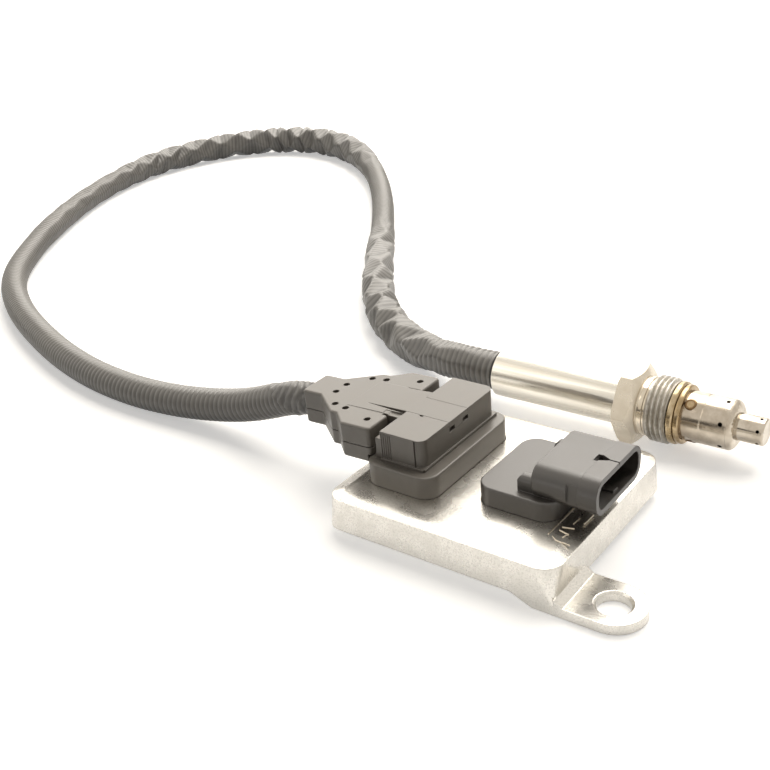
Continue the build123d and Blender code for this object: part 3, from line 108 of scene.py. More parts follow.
@dataclass(frozen=True)
class Finish:
    """One real surface: its colour and gloss, its grain and the slow change over it."""

    # Noise values between which the patches fade in, and those over which the roughness swings.
    PATCH_NOISE = (0.35, 0.65)
    ROUGH_NOISE = (0.3, 0.7)

    name: str
    colour: str
    patch_colour: str
    roughness: float
    metallic: float = 0.0
    rough_swing: float = 0.06
    patch_mm: float = 9.0
    patch_amount: float = 0.5
    grain_mm: float = 0.4
    grain_depth_mm: float = 0.006
    stretch: Place = (1.0, 1.0, 1.0)
    shine: float = 0.5
    edge_mm: float = 0.0
    accent: str = ""
    accent_amount: float = 0.5

    def material(self) -> bpy.types.Material:
        """Gives the finish's material, built once and shared."""
        return bpy.data.materials.get(self.name) or self.build()

    def build(self) -> bpy.types.Material:
        """Makes the material.

        Returns:
            The new material.
        """
        material = bpy.data.materials.new(self.name)
        material.use_nodes = True
        tree = material.node_tree
        shader = tree.nodes["Principled BSDF"]
        shader.inputs["Metallic"].default_value = self.metallic
        shader.inputs["Specular IOR Level"].default_value = self.shine
        where = add_node(tree, "TexCoord").outputs["Object"]
        along = add_node(tree, "Mapping", {"Vector": where, "Scale": self.stretch}).outputs[0]
        patches, grain = (
            add_node(tree, "TexNoise", {"Vector": along, "Scale": 1 / size / MM, "Detail": detail}).outputs[0]
            for size, detail in ((self.patch_mm, 4.0), (self.grain_mm, 2.0)))
        low, high = self.PATCH_NOISE
        share = add_node(tree, "MapRange", {0: patches, 1: low, 2: high, 4: self.patch_amount}).outputs[0]
        base = add_node(tree, "Mix", {0: share, 6: linear(self.colour), 7: linear(self.patch_colour)},
                        data_type="RGBA").outputs[2]
        if self.accent:
            share = self.accent_share(tree, where, grain)
            base = add_node(tree, "Mix", {0: share, 6: base, 7: linear(self.accent)},
                            data_type="RGBA").outputs[2]
        tree.links.new(base, shader.inputs["Base Color"])
        low, high = self.ROUGH_NOISE
        rough = add_node(tree, "MapRange", {0: patches, 1: low, 2: high, 3: self.roughness - self.rough_swing,
                                            4: self.roughness + self.rough_swing}).outputs[0]
        tree.links.new(rough, shader.inputs["Roughness"])
        bump = add_node(tree, "Bump", {"Height": grain, "Distance": self.grain_depth_mm * MM})
        if self.edge_mm:
            edge = add_node(tree, "Bevel", {"Radius": self.edge_mm * MM}, samples=8)
            tree.links.new(edge.outputs["Normal"], bump.inputs["Normal"])
        tree.links.new(bump.outputs["Normal"], shader.inputs["Normal"])
        return material

    def accent_share(self, tree: NodeTree, where: Socket, grain: Socket) -> Socket | float:
        """Gives how much of the accent colour shows; on a plain finish it is the same all over.

        Args:
            tree: The material's node tree.
            where: Object coordinates.
            grain: The bump height.

        Returns:
            The share, from 0 to the accent amount.
        """
        return self.accent_amount


@dataclass(frozen=True)
class GroovedFinish(Finish):
    """A finish whose accent colour follows the piece's own groove attribute: painted shade on the conduit,
    paste in the thread's roots and burn on the weld spots.
    """

    def accent_share(self, tree: NodeTree, where: Socket, grain: Socket) -> Socket:
        """Shows the accent in the grooves; see Finish.accent_share for the Args and Returns."""
        groove = add_node(tree, "Attribute", attribute_name="groove").outputs["Fac"]
        return add_node(tree, "Math", {0: groove, 1: self.accent_amount}, operation="MULTIPLY").outputs[0]


@dataclass(frozen=True)
class DentShadedFinish(Finish):
    """A blasted finish whose tiny dents are painted darker than the metal between them: painted shade at the
    low points of the grain's bump.
    """

    # Noise values between which a dent goes from bare to full painted shade.
    DENT_SHADE_NOISE = (0.52, 0.34)

    def accent_share(self, tree: NodeTree, where: Socket, grain: Socket) -> Socket:
        """Paints shade in the dents with the accent; see Finish.accent_share for the Args and Returns."""
        bare, dark = self.DENT_SHADE_NOISE
        return add_node(tree, "MapRange", {0: grain, 1: bare, 2: dark, 4: self.accent_amount}).outputs[0]


@dataclass(frozen=True)
class HeatTintedFinish(Finish):
    """Steel that exhaust heat has coloured; the tint grows between two places along the probe."""

    tint_from: float = 0.027
    tint_to: float = 0.034

    def accent_share(self, tree: NodeTree, where: Socket, grain: Socket) -> Socket:
        """Shows the accent along the probe; see Finish.accent_share for the Args and Returns."""
        along = add_node(tree, "SeparateXYZ", {0: where}).outputs[0]
        return add_node(tree, "MapRange", {0: along, 1: self.tint_from, 2: self.tint_to,
                                           4: self.accent_amount}).outputs[0]


# Die-cast aluminium, vibratory blasted: even pale metal with a fine grain that breaks up its reflections, and
# painted shade in the grain's tiny dents.
CAST_ALUMINIUM = DentShadedFinish("die_cast_aluminium_blasted", "DEDBD5", "CBC8C1", 0.28, metallic=1.0,
                                rough_swing=0.05, patch_mm=5.0, grain_mm=0.45, grain_depth_mm=0.018,
                                edge_mm=0.4, accent="BAB7B0")
# Moulded glass-filled nylon: dark grey, a faint grain, and a sheen that pales it at a low angle.
MOULDED_NYLON = Finish("moulded_nylon_dark", "716C65", "7D7770", 0.40, rough_swing=0.05, patch_mm=6.0,
                       grain_mm=0.35, shine=0.75, edge_mm=0.3)
# The supply header's nylon: a shade darker, with more sheen.
SHEENY_NYLON = Finish("moulded_nylon_sheen", "484440", "524E49", 0.37, rough_swing=0.05, patch_mm=6.0,
                      grain_mm=0.35, shine=0.85, edge_mm=0.3)
# Extruded corrugated polypropylene: soft sheen on the ribs, and painted shade between them and in the
# creases.
CORRUGATED_PLASTIC = GroovedFinish("corrugated_polypropylene", "76736E", "85827C", 0.37, rough_swing=0.05,
                                   patch_mm=22.0, patch_amount=0.6, grain_mm=0.5, grain_depth_mm=0.01,
                                   shine=0.9, accent="3B3835", accent_amount=0.8)
# Drawn and polished stainless steel: clear reflections, faint lines along the drawing direction.
POLISHED_STEEL = Finish("drawn_stainless_polished", "E3DFD6", "C0B7A6", 0.24, metallic=1.0, rough_swing=0.08,
                        patch_mm=2.0, grain_mm=0.35, grain_depth_mm=0.012, stretch=(0.03, 1.0, 1.0))
# Machined steel hexagon: warm grey satin.
TURNED_STEEL = Finish("machined_steel_satin", "D3CABA", "BDB2A0", 0.30, metallic=1.0, patch_mm=4.0,
                      patch_amount=0.45, grain_mm=0.3, grain_depth_mm=0.004)
# The nut's neck, turned bright: crisp warm reflections.
BRIGHT_STEEL = Finish("turned_steel_bright", "D6CCBB", "A8977C", 0.12, metallic=1.0, rough_swing=0.05,
                      patch_mm=2.5, patch_amount=0.4, grain_mm=0.3, grain_depth_mm=0.003)
# Thread under a film of high-temperature paste: pale on the crests, grey in the roots.
PASTED_THREAD = GroovedFinish("thread_with_paste", "EDEAE3", "B4ADA1", 0.40, metallic=0.45, rough_swing=0.1,
                              patch_mm=1.6, patch_amount=0.85, grain_depth_mm=0.05, accent="B9B2A6",
                              accent_amount=0.75)
# Turned steel with a straw heat tint.
TINTED_STEEL = HeatTintedFinish("turned_steel_heat_tinted", "BFB094", "8C7850", 0.24, metallic=1.0,
                                rough_swing=0.07, patch_mm=2.0, patch_amount=0.6, grain_mm=0.3,
                                grain_depth_mm=0.004, accent="8A6B45", accent_amount=0.6)
# Drawn steel tubes, browner towards the welds.
DRAWN_STEEL = HeatTintedFinish("drawn_steel_straw", "C8BFB1", "988C7B", 0.2, metallic=1.0, patch_mm=3.5,
                               patch_amount=0.55, grain_depth_mm=0.003, accent="8A765C",
                               accent_amount=0.3, tint_from=0.046, tint_to=0.032)
# Fusion weld: the bead round the spot is burnt brown, its middle is straw.
WELDED_STEEL = GroovedFinish("weld_spot_burnt", "AA9678", "8F7A58", 0.3, metallic=1.0, rough_swing=0.05,
                             patch_mm=0.8, grain_mm=0.3, grain_depth_mm=0.004, accent="5E4428",
                             accent_amount=0.9)
# Black moulded rubber: flat, with hardly a highlight.
RUBBER = Finish("moulded_rubber_black", "232120", "2E2C2A", 0.6, patch_mm=3.0)
# Green lacquer over copper: an even gloss.
BOARD = Finish("board_lacquer_green", "1E4A2E", "25563A", 0.35, patch_mm=5.0)
# The chips' moulding resin: near black and dull.
CHIP_RESIN = Finish("chip_moulding_resin", "2B2A29", "343231", 0.5, patch_mm=3.0)
# The capacitors' bare aluminium cans: pale satin.
ALUMINIUM_CAN = Finish("aluminium_can", "D0D0D0", "C0C0C0", 0.3, metallic=1.0, patch_mm=2.0)
# Zinc-plated steel: cool grey, slightly clouded.
ZINC_STEEL = Finish("zinc_plated_steel", "C9C9C6", "B5B5B0", 0.3, metallic=1.0, patch_mm=2.0)
# Tinned brass: silver with a warm cast.
TINNED_BRASS = Finish("tinned_brass", "CDC8B8", "B9B19B", 0.28, metallic=1.0, patch_mm=1.5)
# Grey wire insulation: smooth, with a soft highlight.
WIRE_SLEEVE = Finish("wire_insulation_grey", "7C7A76", "878581", 0.45, patch_mm=4.0)
# Sintered ceramic: chalky off-white.
CERAMIC = Finish("sintered_ceramic", "E6E2D8", "D6D0C2", 0.6, patch_mm=2.0)


def stand(name: str, data: bpy.types.ID) -> bpy.types.Object:
    """Puts a new object into the scene.

    Args:
        name: Its name.
        data: Its mesh, camera or lamp.

    Returns:
        The object.
    """
    thing = bpy.data.objects.new(name, data)
    bpy.context.scene.collection.objects.link(thing)
    return thing


def stand_mesh(name: str, bm: Mesh) -> bpy.types.Object:
    """Puts a bmesh into the scene as a new object.

    Args:
        name: Its name.
        bm: The mesh, in place; it is freed.

    Returns:
        The object.
    """
    mesh = bpy.data.meshes.new(name)
    bm.to_mesh(mesh)
    bm.free()
    return stand(name, mesh)


def add_piece(name: str, bm: Mesh, finish: Finish, body: Body = Body.SENSOR,
              replaces: tuple[str, ...] = (), crease_deg: float = CREASE_DEG) -> bpy.types.Object:
    """Turns a bmesh into a finished piece that rides on its body.

    Args:
        name: The piece's name.
        bm: The mesh, in place; it is freed.
        finish: Its finish.
        body: The body that it rides on.
        replaces: The nodes that it stands for.
        crease_deg: Edges sharper than this stay sharp.

    Returns:
        The new object.
    """
    piece = stand_mesh(name, bm)
    mesh = piece.data
    for face in mesh.polygons:
        face.use_smooth = True
    mesh.set_sharp_from_angle(angle=math.radians(crease_deg))
    mesh.materials.append(finish.material())
    if replaces:
        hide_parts(*replaces)
    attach(piece, body.value)
    log.info("%s: %d faces", name, len(mesh.polygons))
    return piece


def soften(piece: bpy.types.Object, width_mm: float) -> None:
    """Rounds a piece's sharp edges and keeps the light even on its flat faces.

    Args:
        piece: The piece.
        width_mm: How far back from the edge the rounding starts.
    """
    bevel = piece.modifiers.new("edges", "BEVEL")
    bevel.width = width_mm * MM
    bevel.segments = 2
    bevel.limit_method = "ANGLE"
    bevel.angle_limit = math.radians(CREASE_DEG)
    bevel.miter_outer = "MITER_ARC"
    even = piece.modifiers.new("even_faces", "WEIGHTED_NORMAL")
    even.keep_sharp = True


def copy_of(node: str) -> Mesh:
    """Takes a node's shape as a clean mesh: welded, with its flat faces joined.

    Args:
        node: The node's name.

    Returns:
        The mesh, in place.
    """
    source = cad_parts[node]
    bm = bmesh.new()
    bm.from_mesh(source.data)
    bmesh.ops.transform(bm, matrix=source.matrix_world, verts=bm.verts)
    bmesh.ops.remove_doubles(bm, verts=bm.verts, dist=WELD)
    bmesh.ops.dissolve_limit(bm, angle_limit=math.radians(FLAT_DEG), verts=bm.verts, edges=bm.edges)
    return bm


def softened_node(node: str, name: str, finish: Finish, width_mm: float) -> None:
    """Stands a copy with rounded edges in for a node whose shape is right.

    Args:
        node: The node's name.
        name: The piece's name.
        finish: Its finish.
        width_mm: The rounding of its edges.
    """
    soften(add_piece(name, copy_of(node), finish, replaces=(node,)), width_mm)


def lathe(profile: list[tuple[float, float]], steps: int = 96, lead: float = 0.0) -> Mesh:
    """Spins a profile about the probe's axis.

    Args:
        profile: Points (x, radius) in millimetres, in order around the section.
        steps: Facets around.
        lead: For a thread, the millimetres along the axis in one turn; its profile stays open.

    Returns:
        The mesh in place.
    """
    bm = bmesh.new()
    verts = [bm.verts.new((x * MM, PROBE_AXIS.y, PROBE_AXIS.z + radius * MM)) for x, radius in profile]
    closing = [] if lead else verts[:1]
    edges = [bm.edges.new(pair) for pair in zip(verts, verts[1:] + closing)]
    bmesh.ops.spin(bm, geom=verts + edges, cent=PROBE_AXIS, axis=(1, 0, 0), angle=math.tau, steps=steps,
                   dvec=(lead * MM / steps, 0, 0), use_merge=not lead, use_duplicate=False)
    bmesh.ops.remove_doubles(bm, verts=bm.verts, dist=WELD)
    bmesh.ops.recalc_face_normals(bm, faces=bm.faces)
    return bm


def at_radius(place: Vector, radius: float) -> Vector:
    """Moves a place straight out from the probe's axis, or in, to a radius in millimetres."""
    middle = Vector((place.x, PROBE_AXIS.y, PROBE_AXIS.z))
    return middle + (place - middle).normalized() * radius * MM


def rounded(profile: list[tuple[float, float, float]], steps: int = 4) -> list[tuple[float, float]]:
    """Rounds the corners of a closed profile.

    Args:
        profile: Points (x, radius, corner rounding) in millimetres, in order.
        steps: Points on each rounded corner, less one.

    Returns:
        Points (x, radius) for a lathe.
    """
    points = []
    for index, (x, radius, rounding) in enumerate(profile):
        corner = Vector((x, radius))
        before = Vector(profile[index - 1][:2])
        after = Vector(profile[(index + 1) % len(profile)][:2])
        if rounding <= 0:
            points.append((x, radius))
            continue
        start = corner + (before - corner).normalized() * rounding
        end = corner + (after - corner).normalized() * rounding
        for step in range(steps + 1):
            share = step / steps
            place = start * (1 - share) ** 2 + corner * 2 * share * (1 - share) + end * share ** 2
            points.append((place.x, place.y))
    return points


@dataclass(frozen=True)
class Stroke:
    """One stroke on the lid, from one point to another, in millimetres."""

    x0: float
    y0: float
    x1: float
    y1: float
    width: float = 0.3


@dataclass
class ControlUnit:
    """The cast housing and the two headers that stand through its lid."""

    lid_top: float = 12.95
    stroke_rise: float = 0.21
    stroke_root: float = 0.15
    strokes: tuple[Stroke, ...] = (
        Stroke(26.8, -18.5, 26.95, -5.3, 0.45), Stroke(32.4, -10.4, 32.6, -5.7, 0.4),
        Stroke(28.0, -18.7, 29.8, -20.0), Stroke(29.8, -20.0, 33.6, -20.2),
        Stroke(30.1, -11.7, 30.4, -8.6), Stroke(30.5, -18.2, 30.9, -16.5),
        Stroke(28.3, -15.6, 31.3, -16.4), Stroke(28.3, -14.2, 31.3, -13.4))

    def build(self) -> None:
        """Builds and dresses the control unit."""
        softened_node("housing", "housing_casting", CAST_ALUMINIUM, 0.45)
        softened_node("harness_header", "harness_riser", MOULDED_NYLON, 0.25)
        softened_node("supply_header", "supply_shroud", SHEENY_NYLON, 0.3)
        self.lid_strokes()

    def lid_strokes(self) -> None:
        """Raises plain strokes on the lid, where such castings carry their marks."""
        bm = bmesh.new()
        height = self.stroke_rise + self.stroke_root
        level = self.lid_top + (self.stroke_rise - self.stroke_root) / 2
        for mark in self.strokes:
            across, along = mark.x1 - mark.x0, mark.y1 - mark.y0
            middle = Vector(((mark.x0 + mark.x1) / 2, (mark.y0 + mark.y1) / 2, level)) * MM
            turn = Matrix.Rotation(math.atan2(along, across), 4, "Z")
            size = Matrix.Diagonal((math.hypot(across, along) * MM, mark.width * MM, height * MM, 1.0))
            bmesh.ops.create_cube(bm, size=1.0, matrix=Matrix.Translation(middle) @ turn @ size)
        soften(add_piece("lid_strokes", bm, TURNED_STEEL), 0.1)


@dataclass
class HarnessPlug:
    """The connector that stands on the riser and its wire cover.

    The cover's halves meet on a plane that leans about the seam's place, give or take the reach.
    """

    seam_x: float = -27.78
    seam_z: float = 22.0
    seam_lean_deg: float = 2.1
    seam_reach: float = 0.03
    half_gap: float = 0.12

    def build(self) -> None:
        """Builds and dresses the harness connector."""
        softened_node("harness_connector", "plug_block", MOULDED_NYLON, 0.3)
        self.cover_half("cover_top_half", "wire_cover_top", 1)
        self.cover_half("cover_bottom_half", "wire_cover_bottom", -1)

    def cover_half(self, node: str, name: str, away: int) -> None:
        """Stands in for one half of the wire cover, drawn back from the other so that the seam shows.

        Args:
            node: The half's node.
            name: The piece's name.
            away: 1 for the upper half, -1 for the lower one.
        """
        bm = copy_of(node)
        slope = math.tan(math.radians(self.seam_lean_deg))
        at_seam = [vertex for vertex in bm.verts
                   if abs(vertex.co.z / MM - self.seam_z
                          - (vertex.co.x / MM - self.seam_x) * slope) < self.seam_reach]
        bmesh.ops.translate(bm, verts=at_seam, vec=(0, 0, away * self.half_gap * MM))
        soften(add_piece(name, bm, MOULDED_NYLON, replaces=(node,)), 0.3)


@dataclass(frozen=True)
class Waist:
    """A sharp waist between two lobes of the wrung conduit.

    It stands in millimetres from the cover and leans by the tilt towards the stretch's edge. The swell is
    the radius of the lobes' corners there and the depth how far their flats fall in, both as shares of the
    radius.
    """

    along: float
    tilt: float
    swell: float
    depth: float

    def between(self, other: "Waist", share: float) -> "Waist":
        """Gives the ring that lies at a share of the way to another."""
        pairs = zip(vars(self).values(), vars(other).values())
        return Waist(*(mine + (theirs - mine) * share for mine, theirs in pairs))

    def place(self, lean: float) -> float:
        """Gives where the ring stands on a side of the conduit, with lean 1 on its edge and -1 across."""
        return self.along + self.tilt * lean


@dataclass
class Wrung:
    """A stretch of the conduit that was wrung by hand, so that it buckled into four-sided lobes.

    A lobe has its corners at four angles and the waist after it has them half way between, so that flat
    triangles run up and down between them, as on a crushed can. The edge is the angle around the conduit at
    which a lobe has a corner: 0 is its right-hand side seen from the cover, a quarter turn on is its top. The
    stretch fades out in that many millimetres, and the twist turns its corners by degrees a millimetre. Each
    waist is given by its place, tilt, swell and depth.
    """

    # How sharply the flats meet, how far a crease's shade reaches in millimetres, and the depths at which
    # the ribs are pulled quite flat and the creases fully dark.
    SHARPNESS = 24
    CREASE_REACH = 1.3
    FLAT_DEPTH = 0.3
    DARK_DEPTH = 0.2

    edge_deg: float
    waists: tuple[tuple[float, float, float, float], ...]
    fade: float = 12.0
    twist_deg: float = 0.0

    def __post_init__(self) -> None:
        """Sets a ring at each waist and one half way between each two, where the lobe is widest."""
        self.edge = math.radians(self.edge_deg)
        waists = [Waist(*row) for row in self.waists]
        self.rings = waists[:1]
        for here, following in zip(waists, waists[1:]):
            self.rings += [here.between(following, 0.5), following]

    def weight(self, along: float) -> float:
        """Gives how strongly the stretch acts.

        Args:
            along: Millimetres from the cover.

        Returns:
            Its weight, from 0 to 1.
        """
        inside = min(along - self.rings[0].along, self.rings[-1].along - along) / self.fade + 1
        share = min(max(inside, 0.0), 1.0)
        return share * share * (3 - 2 * share)

    def pull(self, along: float) -> float:
        """Gives how far the wringing has pulled the ribs flat at a place, from 0 to 1."""
        nearest = min(self.rings, key=lambda ring: abs(ring.along - along))
        return self.weight(along) * min(1.0, nearest.depth / self.FLAT_DEPTH)

    def relief(self, along: float, turn: float) -> tuple[float, float]:
        """Gives the radius and the shade in the creases.

        Args:
            along: Millimetres from the cover.
            turn: The angle around the conduit in radians.

        Returns:
            Share of the plain radius, and shade from 0 to 1.
        """
        weight = self.weight(along)
        if weight <= 0:
            return 1.0, 0.0
        lean = math.cos(turn - self.edge)
        index = 0
        while index < len(self.rings) - 2 and along >= self.rings[index + 1].place(lean):
            index += 1
        here, following = self.rings[index], self.rings[index + 1]
        start = here.place(lean)
        length = following.place(lean) - start
        share = min(max((along - start) / length, 0.0), 1.0)
        ring = here.between(following, share)
        quarter = math.pi / 2
        corner = self.edge + (0 if index % 2 else quarter / 2)
        corner += math.radians(self.twist_deg) * (along - self.rings[0].along)
        away = abs((turn - corner) % quarter - quarter / 2)
        low = 1 - ring.depth
        rising = low + ring.depth * math.sin(quarter * share)
        falling = low + ring.depth * math.sin(quarter * (1 - share))
        planes = ((away, rising), (quarter - away, rising), (quarter / 2 - away, falling),
                  (quarter / 2 + away, falling))
        radius = sum((math.cos(angle) / reach) ** self.SHARPNESS
                     for angle, reach in planes) ** (-1 / self.SHARPNESS)
        portion = away / (quarter / 2)
        first = (1 - portion) * math.exp(-share * length / self.CREASE_REACH)
        second = portion * math.exp(-(1 - share) * length / self.CREASE_REACH)
        shade = max(first, second) * min(1.0, ring.depth / self.DARK_DEPTH)
        return 1 + weight * (ring.swell * radius - 1), weight * shade


@dataclass(frozen=True)
class Fold:
    """The fold beside the cover, where the conduit was pushed back over itself.

    It lies in millimetres from the cover, leans by the tilt towards one side and acts up to the reach past
    its line. Within the lap the radius falls from the swollen lip to the narrow part inside.
    """

    along: float = 11.5
    tilt: float = 5.5
    toward: float = 1.12
    reach: float = 1.5
    narrow: float = 0.93
    lip: float = 0.1
    lap_start: float = 1.0
    lap: float = 1.6
    drag: float = 0.25
    crease_at: float = 0.9
    crease_width: float = 1.1
    crease_shade: float = 0.95
    inner_shade: float = 0.3

    def relief(self, along: float, turn: float) -> tuple[float, float, float]:
        """Gives what the fold does at a place on the conduit.

        Args:
            along: Millimetres from the cover.
            turn: The angle around the conduit in radians.

        Returns:
            Share of the plain radius, shift of the ribs in millimetres, and shade from 0 to 1.
        """
        inside = self.along + self.tilt * math.cos(turn - self.toward) - along
        if inside <= -self.reach:
            return 1.0, 0.0, 0.0
        lap = min(max((self.lap_start - inside) / self.lap, 0.0), 1.0)
        crease = self.crease_shade * math.exp(-abs(inside - self.crease_at) / self.crease_width)
        shift = self.drag * inside * math.sin(turn - self.toward)
        return self.narrow + self.lip * lap, shift, max(crease, self.inner_shade if inside > 0 else 0.0)


@dataclass
class Lead:
    """The corrugated conduit in its long loop.

    Its ribs waver a little along it and lean where it was wrung, which also takes part of their depth.
    Painted shade darkens its rib grooves, creases and fold. In the gap beside the cover it is narrowed and
    painted in full shade, and it widens in the flare at the probe.
    """

    diameter: float = 11.0
    rib_pitch: float = 2.1
    rib_depth: float = 0.5
    rib_sharpness: float = 2.2
    rib_shade: float = 0.8
    rings_per_rib: int = 6
    sides: int = 36
    waver: float = 0.25
    waver_length: float = 30.0
    waver_seed: float = 4.0
    lean: float = 1.1
    lean_length: float = 9.0
    wrung_loss: float = 0.8
    wrung_shade: float = 0.8
    flare: float = 1.16
    flare_length: float = 26.0
    gap_length: float = 2.6
    gap_share: float = 0.88
    clearance: float = 0.03
    lift_reach: float = 7.0
    fold: Fold = Fold()
    stretches: tuple[Wrung, ...] = (
        Wrung(116.0, (
            (300.0, 0.0, 1.02, 0.02), (322.0, 3.0, 1.05, 0.07), (345.0, -3.0, 1.06, 0.08),
            (368.0, 2.0, 1.06, 0.07), (392.0, 3.0, 1.1, 0.12), (409.0, 4.0, 1.2, 0.18),
            (426.0, 5.0, 1.28, 0.23), (442.9, 5.9, 1.34, 0.27), (463.0, 3.0, 1.38, 0.3),
            (482.9, 1.0, 1.42, 0.32), (503.7, -1.6, 1.48, 0.35), (518.9, -2.0, 1.52, 0.38),
            (536.6, -0.7, 1.54, 0.39), (557.7, -2.1, 1.54, 0.39), (581.7, -2.9, 1.48, 0.36),
            (604.0, -3.0, 1.2, 0.2), (626.0, 0.0, 1.03, 0.04))),
        Wrung(22.0, (
            (728.0, 3.0, 1.02, 0.05), (755.7, 6.0, 1.2, 0.27), (788.7, 6.5, 1.28, 0.33),
            (817.0, 3.5, 1.3, 0.35), (835.5, 1.4, 1.34, 0.38), (859.7, -6.2, 1.32, 0.34),
            (880.8, -4.3, 1.14, 0.18), (894.0, 0.0, 1.02, 0.03)), 8.0, 0.7),
    )
    route: tuple[Place, ...] = (
        (-61.3537, -0.4, 20.5732), (-66.9499, -0.4, 20.368), (-73.2, -0.4, 18.6), (-81.5, -0.1, 15.0),
        (-92.5, 0.0, 11.0), (-107.0, -0.8, 7.9), (-125.0, -2.4, 6.0), (-146.7, -3.3, 5.5),
        (-173.3, -0.4, 5.5), (-205.7, 8.5, 5.5), (-248.2, 25.6, 5.5), (-284.0, 47.8, 5.5),
        (-310.7, 77.7, 5.5), (-332.7, 109.9, 5.5), (-352.8, 145.7, 5.5), (-365.4, 178.2, 5.5),
        (-371.3, 212.3, 5.5), (-365.5, 241.8, 5.5), (-353.4, 266.2, 5.5), (-333.7, 283.0, 5.5),
        (-310.2, 290.6, 5.5), (-286.2, 287.8, 5.5), (-256.5, 274.0, 5.5), (-223.8, 245.4, 5.5),
        (-194.0, 210.5, 5.5), (-165.3, 171.5, 5.5), (-142.2, 137.4, 5.5), (-124.2, 112.2, 5.5),
        (-107.7, 92.1, 5.5), (-91.0, 77.8, 5.9), (-74.8, 67.8, 7.4), (-59.9, 60.9, 9.5),
        (-46.0, 57.7, 11.0), (-32.8, 57.7, 11.0),
    )

    def centreline(self) -> list[Vector]:
        """Reads the points of the route's smooth spline.

        Returns:
            Points close together from the cover to the probe.
        """
        curve = bpy.data.curves.new("conduit_route", "CURVE")
        curve.dimensions = "3D"
        curve.resolution_u = 48
        spline = curve.splines.new("NURBS")
        spline.points.add(len(self.route) - 1)
        for point, place in zip(spline.points, self.route):
            point.co = (*(Vector(place) * MM), 1.0)
        spline.order_u = 3
        spline.use_endpoint_u = True
        holder = bpy.data.objects.new("conduit_route", curve)
        mesh = bpy.data.meshes.new_from_object(holder)
        line = [vertex.co.copy() for vertex in mesh.vertices]
        bpy.data.objects.remove(holder)
        bpy.data.curves.remove(curve)
        bpy.data.meshes.remove(mesh)
        return line

    def build(self) -> None:
        """Builds the conduit with real ribs and its wrung stretches."""
        line = self.centreline()
        reach = [0.0]
        for before, after in zip(line, line[1:]):
            reach.append(reach[-1] + (after - before).length)
        total = reach[-1] / MM
        rings = round(total / self.rib_pitch) * self.rings_per_rib
        places = self.ring_places(line, reach, rings)
        bm = bmesh.new()
        bmesh.ops.create_grid(bm, x_segments=rings, y_segments=self.sides, size=1.0)
        groove = bm.verts.layers.float.new("groove")
        rows: list[list[bmesh.types.BMVert]] = [[] for _ in range(rings + 1)]
        for vertex in bm.verts:
            ring = round((vertex.co.x + 1) / 2 * rings)
            turn = (vertex.co.y + 1) / 2 * math.tau
            centre, side, up = places[ring]
            # The second value is painted shade, kept in the groove attribute for the finish.
            radius, depth = self.section(total * ring / rings, total, turn)
            vertex.co = centre + (side * math.cos(turn) + up * math.sin(turn)) * radius * MM
            vertex[groove] = depth
            rows[ring].append(vertex)
        lifts = self.lift_clear(rows, total / rings)
        bmesh.ops.remove_doubles(bm, verts=bm.verts, dist=WELD)
        bmesh.ops.holes_fill(bm, edges=[edge for edge in bm.edges if edge.is_boundary], sides=self.sides)
        bmesh.ops.recalc_face_normals(bm, faces=bm.faces)
        conduit = add_piece("corrugated_conduit", bm, CORRUGATED_PLASTIC,
                            replaces=("conduit",), crease_deg=80)

    def ring_places(self, line: list[Vector], reach: list[float],
                    rings: int) -> list[tuple[Vector, Vector, Vector]]:
        """Stands the rings of the mesh evenly along the centreline.

        Args:
            line: The centreline's points.
            reach: The length up to each point.
            rings: How many steps to take.

        Returns:
            Centre, sideways and upward directions of each ring.
        """
        places = []
        index = 0
        for ring in range(rings + 1):
            along = reach[-1] * ring / rings
            while index < len(line) - 2 and reach[index + 1] < along:
                index += 1
            share = (along - reach[index]) / (reach[index + 1] - reach[index])
            ahead = (line[index + 1] - line[index]).normalized()
            side = ahead.cross(Vector((0, 0, 1))).normalized()
            places.append((line[index].lerp(line[index + 1], share), side, side.cross(ahead)))
        return places

    def lift_clear(self, rows: list[list[bmesh.types.BMVert]], step: float) -> list[float]:
        """Raises swollen rings so that none of them sinks into the surface below.

        Args:
            rows: The vertices of each ring.
            step: Millimetres between rings.

        Returns:
            How far each ring was raised, in metres.
        """
        need = [max(0.0, self.clearance * MM - min(vertex.co.z for vertex in row)) for row in rows]
        reach = round(self.lift_reach / step)
        widest = [max(need[max(0, i - reach):i + reach + 1]) for i in range(len(need))]
        lifts = []
        for index, row in enumerate(rows):
            near = widest[max(0, index - reach):index + reach + 1]
            lifts.append(sum(near) / len(near))
            for vertex in row:
                vertex.co.z += lifts[-1]
        return lifts

    def section(self, along: float, total: float, turn: float) -> tuple[float, float]:
        """Gives the conduit's radius and the shade painted on it at a place.

        Args:
            along: Millimetres from the cover.
            total: The conduit's length in millimetres.
            turn: The angle around it in radians.

        Returns:
            Radius in millimetres, and painted shade from 0 to 1 in the rib grooves, creases, fold and gap.
        """
        radius = self.diameter / 2
        crease = 0.0
        stretched = 0.0
        shift = self.waver * noise.noise(Vector((along / self.waver_length, self.waver_seed, 0.0)))
        for stretch in self.stretches:
            share, shade = stretch.relief(along, turn)
            radius *= share
            crease = max(crease, self.wrung_shade * shade)
            shift += self.lean * stretch.weight(along) * math.sin(turn + along / self.lean_length)
            stretched = max(stretched, stretch.pull(along))
        share, drag, shade = self.fold.relief(along, turn)
        radius *= share
        shift += drag
        crease = max(crease, shade)
        # Beside the cover the conduit narrows and is painted in full shade.
        if along < self.gap_length:
            radius *= self.gap_share
            crease = 1.0
        rib = (0.5 - 0.5 * math.cos(math.tau * (along + shift) / self.rib_pitch)) ** self.rib_sharpness
        radius -= self.rib_depth * rib * (1 - self.wrung_loss * stretched)
        to_end = (total - along) / self.flare_length
        if to_end < 1:
            radius *= 1 + (self.flare - 1) * (1 - to_end)
        return radius, min(1.0, self.rib_shade * rib + crease)


